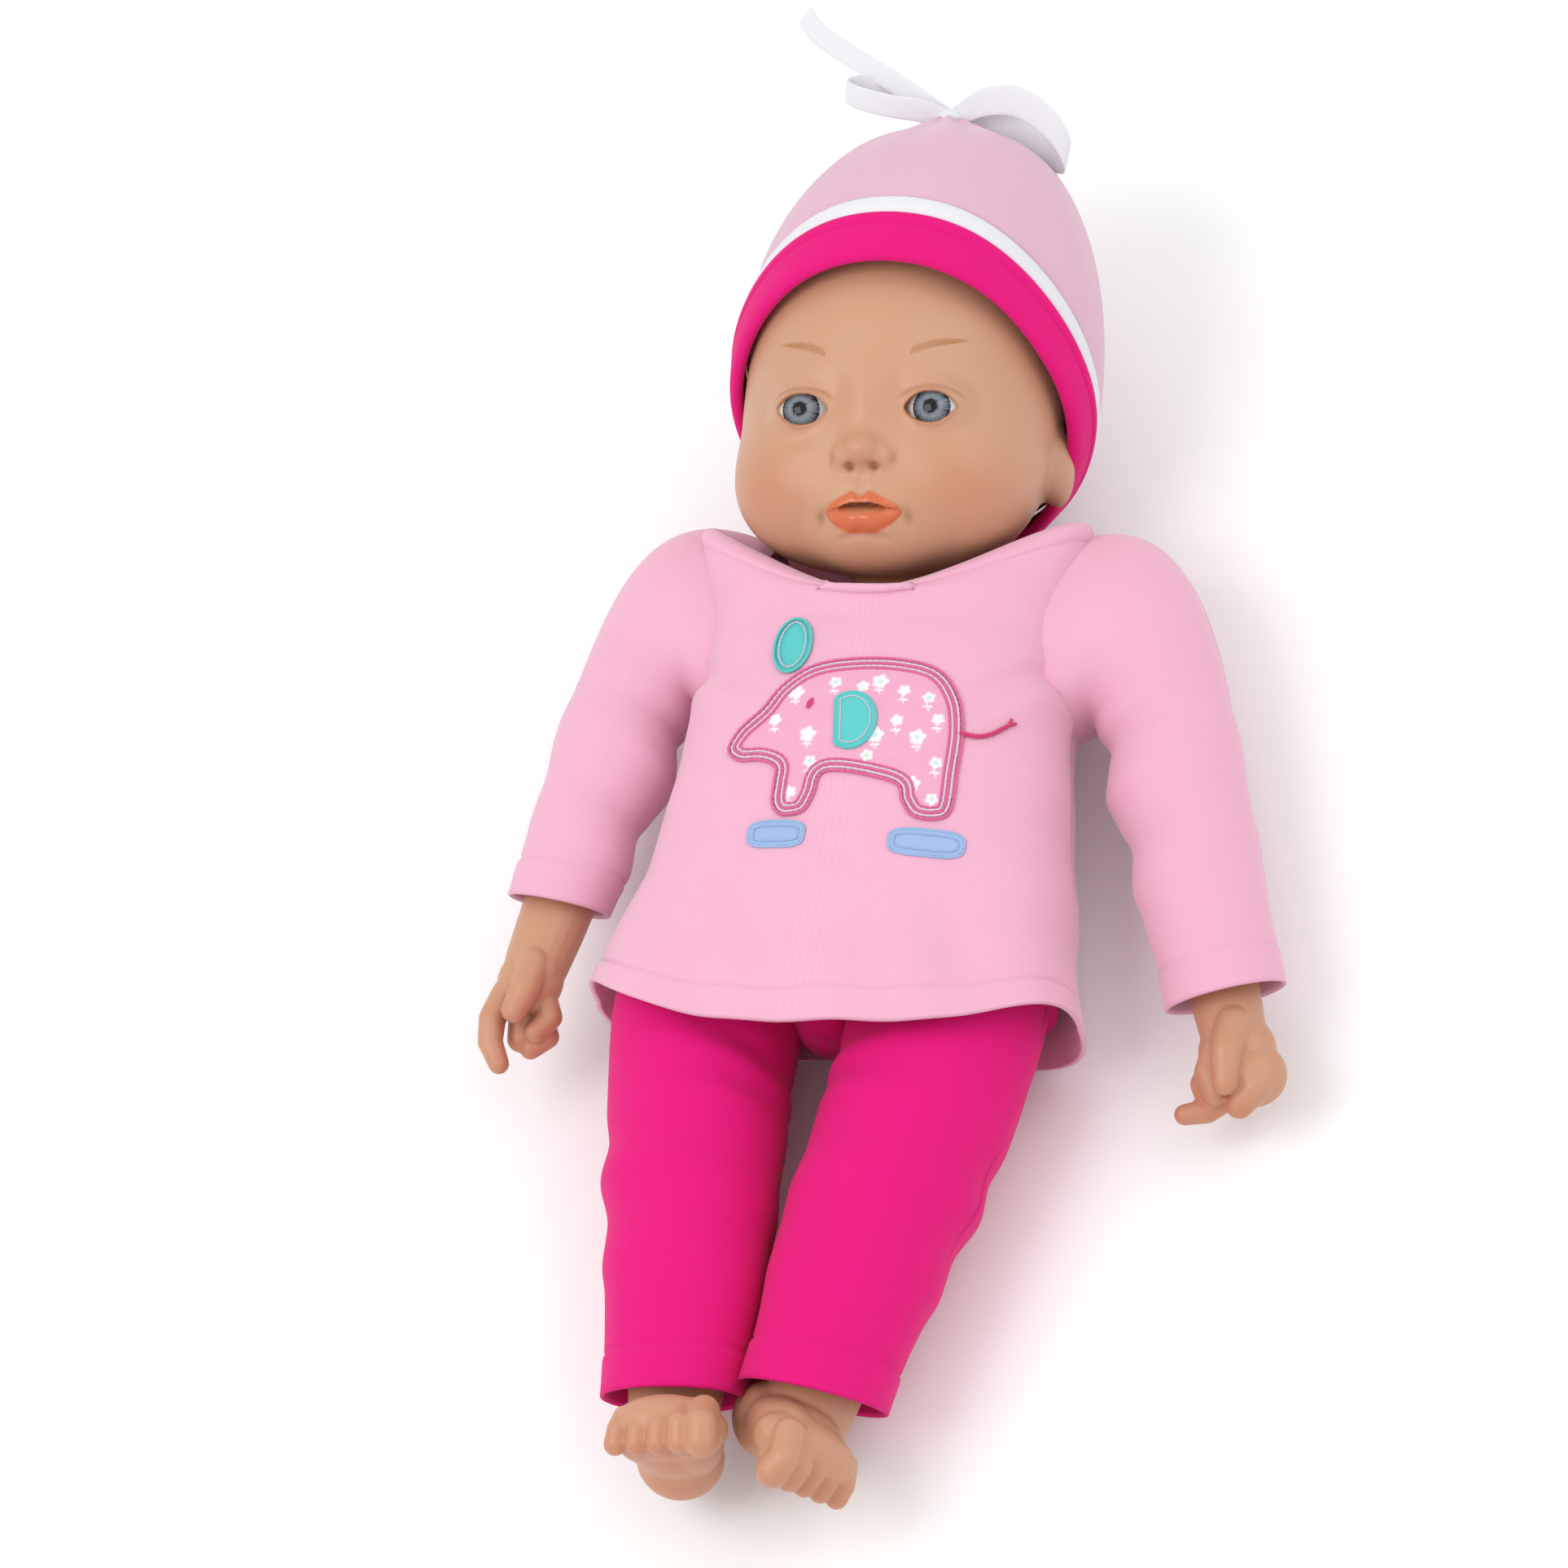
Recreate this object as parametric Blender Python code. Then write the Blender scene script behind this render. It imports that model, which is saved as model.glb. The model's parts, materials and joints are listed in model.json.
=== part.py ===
"""Interactive baby doll, lying on its back: soft cloth torso with a sound module inside, vinyl head
and limbs, and its clothes. Metres, +Z up. The head points to +Y, +X is the doll's left side, and the
origin is on the flat back of the shirt, under the tummy."""

import math

import bmesh
import bpy
import numpy as np
from mathutils import Matrix, Vector

# ---- driving dimensions ------------------------------------------------------------------------
GAP = 0.0004  # air between pieces that rest on each other
FABRIC = 0.0016  # thickness of the jersey
VINYL = 0.0026  # wall of the rotocast head
RIGHT, LEFT = -1, 1  # the doll's own right side is at -X

HEAD_CENTRE = Vector((-0.002, 0.142, 0.0655))
HEAD_PITCH = math.radians(25)  # the face leans towards the feet by this much
NECK_RADIUS = 0.0150
NOD_PIVOT = -0.074  # up the head's own axis from its centre
NOD_RANGE = math.radians(4)
BRIM_NORMAL, BRIM_LINE = Vector((-0.070, 0.684, -0.726)).normalized(), -0.0098  # the hat lies above this plane
HAT_LEAN = 0.8  # how fast the crown of the hat drifts to the left as it rises
EYE_SIDE, EYE_HEIGHT, EYE_RADIUS = 0.0225, -0.010, 0.0112
MOUTH_HEIGHT, MOUTH_HALF_WIDTH, MOUTH_HALF_GAP = -0.0455, 0.0048, 0.0018

SHOULDER = {RIGHT: Vector((-0.0815, 0.083, 0.040)), LEFT: Vector((0.0815, 0.078, 0.040))}
HIP = Vector((0.0385, -0.074, 0.0355))
HIP_SHIFT = -0.006  # the hips lie a little to the right of the chest
HIP_SWEEP = 0.0345  # radius that the top of a trouser leg sweeps round the hip
ARM_ROOT = 0.0640  # nothing of an arm comes closer to the middle than this
ARM_SPREAD = {RIGHT: math.radians(10), LEFT: math.radians(16)}
ARM_DROP = {RIGHT: math.radians(0), LEFT: math.radians(4.5)}
SLEEVE_LENGTH = {RIGHT: 0.126, LEFT: 0.152}
REACH = {RIGHT: 0.0, LEFT: 0.016}  # how much further out the forearm sits
LEG_CLOSE = {RIGHT: math.radians(3), LEFT: math.radians(10)}
FOOT_ROLL = {RIGHT: math.radians(24), LEFT: math.radians(30)}
TROUSER_LENGTH = 0.143
SHIN = 0.010  # how far down from the knee seam everything below it is moved
HEM_CENTRE = -0.004
WAIST = -0.040  # the torso and the body of the shirt end here, the hem hangs on over the thighs
SEGMENTS = 18

MODULE_CENTRE = Vector((0.0, 0.006, 0.0500))
MODULE_SIZE = Vector((0.060, 0.070, 0.026))
MODULE_WALL = 0.0018
BUTTON_RADIUS = 0.0130
BUTTON_Y, SPEAKER_Y, SWITCH_Y = -0.006, 0.0245, 0.0335
BUTTON_TRAVEL = 0.0025
SPEAKER_RADIUS = 0.0140
CELL_RADIUS, CELL_LENGTH = 0.00525, 0.0445

# Torso sections: y, half width, lowest z, highest z. The shirt is the same outline, let out.
TORSO = (
    (-0.070, 0.0745, -0.0010, 0.0720),
    (-0.045, 0.0715, -0.0010, 0.0745),
    (-0.015, 0.0660, -0.0010, 0.0785),
    (0.020, 0.0620, -0.0010, 0.0800),
    (0.045, 0.0605, -0.0008, 0.0775),
    (0.064, 0.0595, 0.0030, 0.0715),
    (0.078, 0.0580, 0.0080, 0.0630),
    (0.088, 0.0530, 0.0160, 0.0520),
    (0.092, 0.0440, 0.0230, 0.0440),
)
TORSO_POWER = 2.7  # superellipse exponent of a section

# ---- materials -----------------------------------------------------------------------------------
FINISHES = {
    "vinyl_skin": ((0.80, 0.55, 0.40), 0.45, 0.0),
    "pink_jersey": ((0.96, 0.62, 0.78), 0.85, 0.0),
    "hot_pink_jersey": ((0.90, 0.02, 0.32), 0.85, 0.0),
    "white_jersey": ((0.93, 0.93, 0.95), 0.85, 0.0),
    "hat_jersey": ((0.90, 0.58, 0.74), 0.85, 0.0),
    "body_cloth": ((0.86, 0.74, 0.64), 0.9, 0.0),
    "fibre_fill": ((0.92, 0.92, 0.90), 0.95, 0.0),
    "eye_acrylic": ((0.35, 0.45, 0.55), 0.05, 0.0),
    "case_plastic": ((0.88, 0.88, 0.86), 0.4, 0.0),
    "pink_plastic": ((0.90, 0.30, 0.55), 0.35, 0.0),
    "tie_nylon": ((0.85, 0.85, 0.83), 0.4, 0.0),
    "steel": ((0.60, 0.60, 0.62), 0.3, 1.0),
    "board_green": ((0.05, 0.30, 0.12), 0.5, 0.0),
    "cone_paper": ((0.06, 0.06, 0.06), 0.8, 0.0),
    "cell_wrap": ((0.10, 0.12, 0.16), 0.4, 0.2),
    "applique": ((0.95, 0.70, 0.82), 0.8, 0.0),
}


def finish(name):
    """The Principled material of that name, made on first use."""
    found = bpy.data.materials.get(name)
    if found:
        return found
    colour, roughness, metallic = FINISHES[name]
    made = bpy.data.materials.new(name)
    made.use_nodes = True
    shader = made.node_tree.nodes["Principled BSDF"]
    shader.inputs["Base Color"].default_value = (*colour, 1.0)
    shader.inputs["Roughness"].default_value = roughness
    shader.inputs["Metallic"].default_value = metallic
    return made


# ---- mesh helpers --------------------------------------------------------------------------------
def add_object(name, mesh, material, parent=None):
    """One named object, smooth where it is round, under its parent empty if it has one."""
    piece = bpy.data.objects.new(name, mesh)
    bpy.context.scene.collection.objects.link(piece)
    mesh.materials.append(finish(material))
    mesh.shade_smooth()
    mesh.set_sharp_from_angle(angle=math.radians(40))
    piece.parent = parent
    return piece


def loft_mesh(name, rings):
    """A closed mesh through rings of equally many points, with a flat cap at each end."""
    work = bmesh.new()
    loops = [[work.verts.new(point) for point in ring] for ring in rings]
    count = len(rings[0])
    for low, high in zip(loops, loops[1:]):
        for i in range(count):
            j = (i + 1) % count
            work.faces.new((low[i], low[j], high[j], high[i]))
    work.faces.new(list(reversed(loops[0])))
    work.faces.new(loops[-1])
    bmesh.ops.recalc_face_normals(work, faces=work.faces)
    mesh = bpy.data.meshes.new(name)
    work.to_mesh(mesh)
    work.free()
    return mesh


def section(y, half_x, low_z, high_z, power=2.0, centre_x=0.0, count=SEGMENTS):
    """A superellipse ring in the plane at y."""
    middle, half_z = (low_z + high_z) / 2, (high_z - low_z) / 2
    points = []
    for i in range(count):
        angle = 2 * math.pi * i / count
        c, s = math.cos(angle), math.sin(angle)
        x = centre_x + half_x * math.copysign(abs(c) ** (2 / power), c)
        z = middle + half_z * math.copysign(abs(s) ** (2 / power), s)
        points.append(Vector((x, y, z)))
    return points


def limb_rings(stations, grow=0.0, count=SEGMENTS):
    """Rings down a limb that runs along -Y from its pivot: distance, half width, half height."""
    return [section(-d, rx + grow, -rz - grow, rz + grow, 2.2, count=count) for d, rx, rz in stations]


def turned(name, profile, count=SEGMENTS):
    """A closed solid of revolution about Z, from (radius, z) pairs that run round the wall."""
    rings = []
    for r, z in profile:
        ring = [(2 * math.pi * i / count) for i in range(count)]
        rings.append([Vector((r * math.cos(a), r * math.sin(a), z)) for a in ring])
    return loft_mesh(name, rings)


def ring_mesh(name, inner, outer, half_length, count=SEGMENTS):
    """A plain band about Z."""
    profile = ((inner, -half_length), (outer, -half_length), (outer, half_length), (inner, half_length))
    work = bmesh.new()
    loops = []
    for r, z in profile:
        angles = [2 * math.pi * i / count for i in range(count)]
        loops.append([work.verts.new((r * math.cos(a), r * math.sin(a), z)) for a in angles])
    for k in range(4):
        low, high = loops[k], loops[(k + 1) % 4]
        for i in range(count):
            j = (i + 1) % count
            work.faces.new((low[i], low[j], high[j], high[i]))
    bmesh.ops.recalc_face_normals(work, faces=work.faces)
    mesh = bpy.data.meshes.new(name)
    work.to_mesh(mesh)
    work.free()
    return mesh


def box_mesh(name, centre, size, bevel=0.0):
    """A box, its edges rounded by bevel."""
    work = bmesh.new()
    bmesh.ops.create_cube(work, size=1.0)
    bmesh.ops.scale(work, vec=size, verts=work.verts)
    if bevel:
        bmesh.ops.bevel(work, geom=work.edges[:], offset=bevel, segments=2, affect="EDGES", profile=0.5)
    bmesh.ops.translate(work, vec=centre, verts=work.verts)
    mesh = bpy.data.meshes.new(name)
    work.to_mesh(mesh)
    work.free()
    return mesh


def ellipsoid_mesh(name, centre, radii, across=SEGMENTS, rows=14):
    """An ellipsoid, optionally squatter below its middle when radii has four values."""
    work = bmesh.new()
    bmesh.ops.create_uvsphere(work, u_segments=across, v_segments=rows, radius=1.0)
    rx, ry, rz = radii[:3]
    low = radii[3] if len(radii) > 3 else rz
    for vert in work.verts:
        x, y, z = vert.co
        vert.co = Vector((x * rx, y * ry, z * (rz if z > 0 else low))) + Vector(centre)
    mesh = bpy.data.meshes.new(name)
    work.to_mesh(mesh)
    work.free()
    return mesh


def capsule_mesh(name, start, end, r_start, r_end, count=10):
    """A finger or toe: a round bar from start to end with domed ends."""
    start, end = Vector(start), Vector(end)
    along = (end - start).normalized()
    side = along.orthogonal().normalized()
    other = along.cross(side)
    rings = []
    for angle in (-80, -50, -20):
        a = math.radians(angle)
        rings.append((start + along * r_start * math.sin(a), r_start * math.cos(a)))
    for angle in (20, 50, 80):
        a = math.radians(angle)
        rings.append((end + along * r_end * math.sin(a), r_end * math.cos(a)))
    loops = []
    for centre, r in rings:
        angles = [2 * math.pi * i / count for i in range(count)]
        loops.append([centre + side * r * math.cos(a) + other * r * math.sin(a) for a in angles])
    return loft_mesh(name, loops)


def helper(mesh, parent=None):
    """A cutter or an addition for a Boolean: not part of the object."""
    tool = bpy.data.objects.new(mesh.name, mesh)
    bpy.context.scene.collection.objects.link(tool)
    tool.hide_render = True
    tool.display_type = "WIRE"
    tool.parent = parent
    return tool


def boolean(piece, tool, operation="DIFFERENCE"):
    """Cuts or joins the tool by a Boolean modifier."""
    step = piece.modifiers.new(f"{operation.lower()}_{tool.name}", "BOOLEAN")
    step.operation = operation
    step.object = tool
    step.solver = "EXACT"
    return piece


def frame_empty(name, matrix):
    """An empty that carries a local frame."""
    empty = bpy.data.objects.new(name, None)
    empty.matrix_world = matrix
    bpy.context.scene.collection.objects.link(empty)
    return empty


def helix_mesh(name, radius, wire, height, turns, steps=9, sides=5):
    """A coil spring about Z, standing on z = 0, as one swept tube."""
    rings = []
    total = int(turns * steps)
    for k in range(total + 1):
        a = 2 * math.pi * k / steps
        centre = Vector((radius * math.cos(a), radius * math.sin(a), wire + (height - 2 * wire) * k / total))
        out = Vector((math.cos(a), math.sin(a), 0))
        up = Vector((0, 0, 1))
        angles = [2 * math.pi * i / sides for i in range(sides)]
        rings.append([centre + out * wire * math.cos(b) + up * wire * math.sin(b) for b in angles])
    return loft_mesh(name, rings)


def wall_mesh(name, profile, count=SEGMENTS):
    """A ring-shaped solid about Z whose wall section is the closed profile of (radius, z)."""
    work = bmesh.new()
    loops = []
    for r, z in profile:
        angles = [2 * math.pi * i / count for i in range(count)]
        loops.append([work.verts.new((r * math.cos(a), r * math.sin(a), z)) for a in angles])
    for k in range(len(profile)):
        low, high = loops[k], loops[(k + 1) % len(profile)]
        for i in range(count):
            j = (i + 1) % count
            work.faces.new((low[i], low[j], high[j], high[i]))
    bmesh.ops.recalc_face_normals(work, faces=work.faces)
    mesh = bpy.data.meshes.new(name)
    work.to_mesh(mesh)
    work.free()
    return mesh


def placed(mesh, matrix):
    """The mesh moved by the matrix."""
    mesh.transform(matrix)
    return mesh


def turn_to_up():
    """Stands a solid about Z on the head's own up axis."""
    return Matrix.Rotation(math.radians(-90), 4, "X")


def head_matrix():
    """The head's frame: X to its left, Y to the crown, Z out of the face."""
    return Matrix.Translation(HEAD_CENTRE) @ Matrix.Rotation(HEAD_PITCH, 4, "X")


# ---- cutters that leave room for the joints --------------------------------------------------------
HEAD_PROFILE = (
    (0.0010, -0.0670),
    (0.0440, -0.0700),
    (0.0530, -0.0660),
    (0.0590, -0.0550),
    (0.0630, -0.0350),
    (0.0660, -0.0100),
    (0.0680, 0.0200),
    (0.0640, 0.0600),
    (0.0300, 0.1050),
)


def head_sweep(name, extra=0.0):
    """The bowl that the head turns and nods in, as a solid in world coordinates."""
    profile = [(r + (extra if r > 0.01 else 0.0), z - extra) for r, z in HEAD_PROFILE]
    return placed(turned(name, profile, count=36), head_matrix() @ turn_to_up())


def hip_cut(name, waist, extra=GAP):
    """Everything footwards of the waist, and the round hollow that the thighs turn in."""
    radius = HIP_SWEEP + extra
    widest = math.acos((waist - HIP.y) / radius)
    outline = []
    for k in range(19):
        angle = -widest + 2 * widest * k / 18
        outline.append((HIP.y + radius * math.cos(angle), HIP.z + radius * math.sin(angle)))
    outline += [(waist, 0.2), (waist - 0.2, 0.2), (waist - 0.2, -0.1), (waist, -0.1)]
    return loft_mesh(name, [[Vector((x, y, z)) for y, z in outline] for x in (-0.15, 0.15)])


def neck_bore(name, radius):
    """The hole that the neck stands in."""
    return placed(turned(name, ((radius, -0.0920), (radius, -0.0400))), head_matrix() @ turn_to_up())


# ---- torso ---------------------------------------------------------------------------------------
def torso_rings(grow, flat_back=None):
    """The torso's sections let out by grow, with the back pressed flat at flat_back."""
    rings = []
    for y, half, low, high in TORSO:
        ring = section(y, half + grow, low - grow, high + grow, TORSO_POWER, count=SEGMENTS + 8)
        if flat_back is not None:
            for point in ring:
                point.z = max(point.z, flat_back)
        rings.append(ring)
    rings[0] = [Vector((p.x, p.y - grow, p.z)) for p in rings[0]]
    rings[-1] = [Vector((p.x, p.y + grow, p.z)) for p in rings[-1]]
    return rings


def build_torso():
    """The stuffed cloth body with its filling, the neck plug and the cable tie round the neck."""
    cloth = add_object("body_cloth", loft_mesh("body_cloth", torso_rings(0.0, 0.0024)), "body_cloth")
    boolean(cloth, helper(loft_mesh("cloth_inside", torso_rings(-0.0014, 0.0038))))
    boolean(cloth, helper(head_sweep("cloth_head_room", 0.0036)))
    boolean(cloth, helper(hip_cut("cloth_hip_room", WAIST)))

    filling = loft_mesh("torso_filling", torso_rings(-0.0030, 0.0055))
    filling = add_object("torso_filling", filling, "fibre_fill")
    boolean(filling, helper(head_sweep("filling_head_room", 0.0050)))
    boolean(filling, helper(hip_cut("filling_hip_room", WAIST + 0.002, 0.0020)))
    boolean(filling, helper(neck_bore("neck_room", 0.0205)))
    size, centre = MODULE_SIZE, MODULE_CENTRE
    top = centre.z + size.z / 2 + 0.001
    pocket = box_mesh(
        "module_pocket",
        (centre.x, centre.y, top / 2 - 0.005),
        (size.x + 0.002, size.y + 0.002, top + 0.010),
    )
    boolean(filling, helper(pocket))
    well = turned("button_well", ((BUTTON_RADIUS + 0.001, 0.0), (BUTTON_RADIUS + 0.001, 0.06)))
    boolean(filling, helper(placed(well, Matrix.Translation((0, BUTTON_Y, centre.z)))))


def build_neck():
    """The plug that the head turns on, and the tie that gathers the cloth round the neck."""
    place = Matrix.Translation((0, -NOD_PIVOT, 0)).inverted()
    frame = frame_empty("neck_frame", head_matrix() @ place)
    shift = Matrix.Translation((0, -NOD_PIVOT, 0)) @ turn_to_up()
    profile = ((0.0165, -0.0885), (0.0165, -0.0858), (0.0114, -0.0850), (0.0114, -0.0640), (0.0080, -0.0620))
    plug = placed(turned("neck_plug", profile), shift)
    add_object("neck_plug", plug, "case_plastic", frame)
    tie = ring_mesh("neck_tie", 0.0162, 0.0178, 0.0015)
    tie = placed(tie, shift @ Matrix.Translation((0, 0, -0.0790)))
    add_object("neck_tie", tie, "tie_nylon", frame)


# ---- sound module ----------------------------------------------------------------------------------
def build_module():
    """The two halves of the sound box, the cells with their cover, the board and the speaker."""
    centre, size, wall = MODULE_CENTRE, MODULE_SIZE, MODULE_WALL
    low, high = centre.z - size.z / 2, centre.z + size.z / 2
    joint = low + 0.0128

    back_mesh = box_mesh(
        "module_back", (centre.x, centre.y, (low + joint) / 2), (size.x, size.y, joint - low), 0.0008
    )
    back = add_object("module_back", back_mesh, "case_plastic")
    bay = box_mesh(
        "back_bay",
        (centre.x, centre.y, (low + wall + joint + 0.01) / 2),
        (size.x - 2 * wall, size.y - 2 * wall, joint + 0.01 - low - wall),
    )
    boolean(back, helper(bay))
    cell_y = centre.y - 0.006
    door = box_mesh("back_door", (0, cell_y, low), (0.0400, 0.0500, 0.02))
    boolean(back, helper(door))
    slot = box_mesh("switch_slot", (0.012, SWITCH_Y, low), (0.0090, 0.0044, 0.02))
    boolean(back, helper(slot))

    cover_mesh = box_mesh("battery_cover", (0, cell_y, low + 0.0009), (0.0392, 0.0492, 0.0014), 0.0002)
    cover = add_object("battery_cover", cover_mesh, "case_plastic")
    hole = turned("screw_hole", ((0.0016, -0.01), (0.0016, 0.01)), count=16)
    boolean(cover, helper(placed(hole, Matrix.Translation((0, cell_y + 0.0235, low)))))
    screw = turned(
        "battery_screw",
        ((0.0024, -0.0016), (0.0024, -0.0002), (0.0012, -0.0001), (0.0012, 0.0052), (0.0003, 0.0062)),
        count=16,
    )
    screw = placed(screw, Matrix.Translation((0, cell_y + 0.0235, low)))
    add_object("battery_screw", screw, "steel")

    for number, x in enumerate((-0.0112, 0.0, 0.0112), 1):
        half = CELL_LENGTH / 2
        profile = (
            (CELL_RADIUS - 0.0004, -half),
            (CELL_RADIUS, -half + 0.0005),
            (CELL_RADIUS, half - 0.0018),
            (CELL_RADIUS - 0.0006, half - 0.0012),
            (0.0019, half - 0.0010),
            (0.0019, half),
        )
        cell = turned(f"battery_{number}", profile, count=20)
        place = Matrix.Translation((x, cell_y - 0.0012, low + wall + CELL_RADIUS + 0.0005))
        flip = 90 if number % 2 else -90
        cell = placed(cell, place @ Matrix.Rotation(math.radians(flip), 4, "X"))
        add_object(f"battery_{number}", cell, "cell_wrap")

    board_z = joint + 0.0010
    board_mesh = box_mesh(
        "circuit_board",
        (0, centre.y, board_z + 0.0008),
        (size.x - 2 * wall - 0.001, size.y - 2 * wall - 0.001, 0.0014),
    )
    add_object("circuit_board", board_mesh, "board_green")

    front_low = joint + 0.0004
    front_mesh = box_mesh(
        "module_front",
        (centre.x, centre.y, (front_low + high) / 2),
        (size.x, size.y, high - front_low),
        0.0008,
    )
    front = add_object("module_front", front_mesh, "case_plastic")
    room = box_mesh(
        "front_room",
        (centre.x, centre.y, (front_low + high - wall) / 2 - 0.005),
        (size.x - 2 * wall, size.y - 2 * wall, high - front_low - wall + 0.010),
    )
    boolean(front, helper(room))
    hole = turned("button_hole", ((0.0112, -0.01), (0.0112, 0.01)), count=32)
    boolean(front, helper(placed(hole, Matrix.Translation((0, BUTTON_Y, high)))))
    for k in range(7):
        r, a = (0.0, 0.0) if k == 0 else (0.0065, math.pi * k / 3)
        grille = turned(f"grille_{k}", ((0.0018, -0.01), (0.0018, 0.01)), count=12)
        spot = (r * math.cos(a), SPEAKER_Y + r * math.sin(a), high)
        boolean(front, helper(placed(grille, Matrix.Translation(spot))))

    speaker = Matrix.Translation((0, SPEAKER_Y, high - wall))
    frame_profile = ((0.0118, -0.0036), (0.0140, -0.0036), (0.0140, -0.0005), (0.0118, -0.0005))
    add_object("speaker_frame", placed(wall_mesh("speaker_frame", frame_profile), speaker), "steel")
    cone_profile = (
        (0.0020, -0.0034),
        (0.0114, -0.0010),
        (0.0114, -0.0016),
        (0.0060, -0.0034),
        (0.0058, -0.0042),
        (0.0020, -0.0042),
    )
    add_object("speaker_cone", placed(wall_mesh("speaker_cone", cone_profile), speaker), "cone_paper")
    magnet = turned("speaker_magnet", ((0.0090, -0.0078), (0.0090, -0.0046)))
    add_object("speaker_magnet", placed(magnet, speaker), "steel")

    button_frame = frame_empty("button_frame", Matrix.Translation((0, BUTTON_Y, high)))
    button_profile = (
        (0.0125, -0.0046),
        (0.0125, -0.0028),
        (0.0106, -0.0026),
        (0.0106, 0.0030),
        (0.0090, 0.0042),
        (0.0050, 0.0050),
    )
    add_object("tummy_button", turned("tummy_button", button_profile, count=32), "pink_plastic", button_frame)
    spring_low = board_z + 0.0019
    spring_high = high - 0.0046 - 0.0004
    spring = helix_mesh("button_spring", 0.0080, 0.0003, spring_high - spring_low, 3.0)
    add_object("button_spring", placed(spring, Matrix.Translation((0, BUTTON_Y, spring_low))), "steel")

    switch_frame = frame_empty("switch_frame", Matrix.Translation((0.012, SWITCH_Y, low)))
    slider_mesh = box_mesh("power_switch", (0, 0, wall + 0.0004 + 0.0007), (0.0140, 0.0064, 0.0014))
    slider = add_object("power_switch", slider_mesh, "steel", switch_frame)
    knob = box_mesh("switch_knob", (-0.0022, 0, 0.0010), (0.0036, 0.0036, 0.0040))
    boolean(slider, helper(knob, switch_frame), "UNION")


# ---- head ----------------------------------------------------------------------------------------
CRANIUM = ((0, 0.008, -0.004), (0.0560, 0.0610, 0.0590))
FACE = ((0, -0.022, 0.0140), (0.0500, 0.0400, 0.0430))
CHIN = ((0, -0.0500, 0.0400), (0.0160, 0.0125, 0.0150))
NOSE = ((0, -0.0240, 0.0570), (0.0080, 0.0065, 0.0075))


def eye_place(side):
    """Where an eyeball's middle is, in the head's frame."""
    return (side * EYE_SIDE, EYE_HEIGHT, 0.0425)


def build_head(frame):
    """The hollow vinyl head with its neck, the eyes and the mouth slot with the switch behind it."""
    shell_mesh = ellipsoid_mesh("head_shell", *CRANIUM, across=28, rows=16)
    shell = add_object("head_shell", shell_mesh, "vinyl_skin", frame)
    boolean(shell, helper(ellipsoid_mesh("face_front", *FACE, across=28, rows=16), frame), "UNION")
    boolean(shell, helper(ellipsoid_mesh("chin", *CHIN, across=20, rows=12), frame), "UNION")
    boolean(shell, helper(ellipsoid_mesh("nose", *NOSE, across=14, rows=8), frame), "UNION")
    neck = placed(turned("neck", ((0.0150, -0.0850), (0.0150, -0.0400))), turn_to_up())
    boolean(shell, helper(neck, frame), "UNION")
    for side, word in ((RIGHT, "right"), (LEFT, "left")):
        ear = ellipsoid_mesh(f"ear_{word}", (side * 0.0510, -0.0300, 0.0040), (0.0065, 0.0095, 0.0065), 16, 10)
        boolean(shell, helper(ear, frame), "UNION")
    inner = ellipsoid_mesh(
        "cranium_room", CRANIUM[0], [r - VINYL for r in CRANIUM[1]], across=22, rows=12
    )
    boolean(shell, helper(inner, frame))
    inner = ellipsoid_mesh("face_room", FACE[0], [r - VINYL for r in FACE[1]], across=22, rows=12)
    boolean(shell, helper(inner, frame))
    bore = placed(turned("neck_hollow", ((0.0118, -0.0950), (0.0118, -0.0300))), turn_to_up())
    boolean(shell, helper(bore, frame))
    for side, word in ((RIGHT, "right"), (LEFT, "left")):
        room = ellipsoid_mesh(f"socket_{word}", eye_place(side), [EYE_RADIUS + 2 * GAP] * 3, 20, 12)
        boolean(shell, helper(room, frame))
        eye = ellipsoid_mesh(f"eye_{word}", eye_place(side), [EYE_RADIUS] * 3, 20, 12)
        add_object(f"eye_{word}", eye, "eye_acrylic", frame)
    half, gap = MOUTH_HALF_WIDTH, MOUTH_HALF_GAP
    slot = box_mesh("mouth_slot", (0, MOUTH_HEIGHT, 0.0400), (2 * half, 2 * gap, 0.060))
    boolean(shell, helper(slot, frame))


def build_mouth(frame):
    """The switch behind the lips: a case, a sprung plunger, and the spring."""
    case_mesh = box_mesh("mouth_switch_case", (0, MOUTH_HEIGHT, 0.0290), (0.0170, 0.0100, 0.0140), 0.0005)
    case = add_object("mouth_switch_case", case_mesh, "case_plastic", frame)
    pocket = box_mesh("mouth_pocket", (0, MOUTH_HEIGHT, 0.0336), (0.0132, 0.0070, 0.0200))
    boolean(case, helper(pocket, frame))
    plunger_frame = frame_empty("plunger_frame", head_matrix() @ Matrix.Translation((0, MOUTH_HEIGHT, 0.0300)))
    plunger_mesh = box_mesh("mouth_plunger", (0, 0, 0), (0.0124, 0.0060, 0.0020), 0.0002)
    plunger = add_object("mouth_plunger", plunger_mesh, "pink_plastic", plunger_frame)
    stem = box_mesh("plunger_stem", (0, 0, 0.0100), (0.0084, 0.0026, 0.0200), 0.0004)
    boolean(plunger, helper(stem, plunger_frame), "UNION")
    spring = helix_mesh("mouth_spring", 0.0022, 0.00025, 0.0045, 3.0)
    spring = placed(spring, Matrix.Translation((0, MOUTH_HEIGHT, 0.0240)))
    add_object("mouth_spring", spring, "steel", frame)


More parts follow.
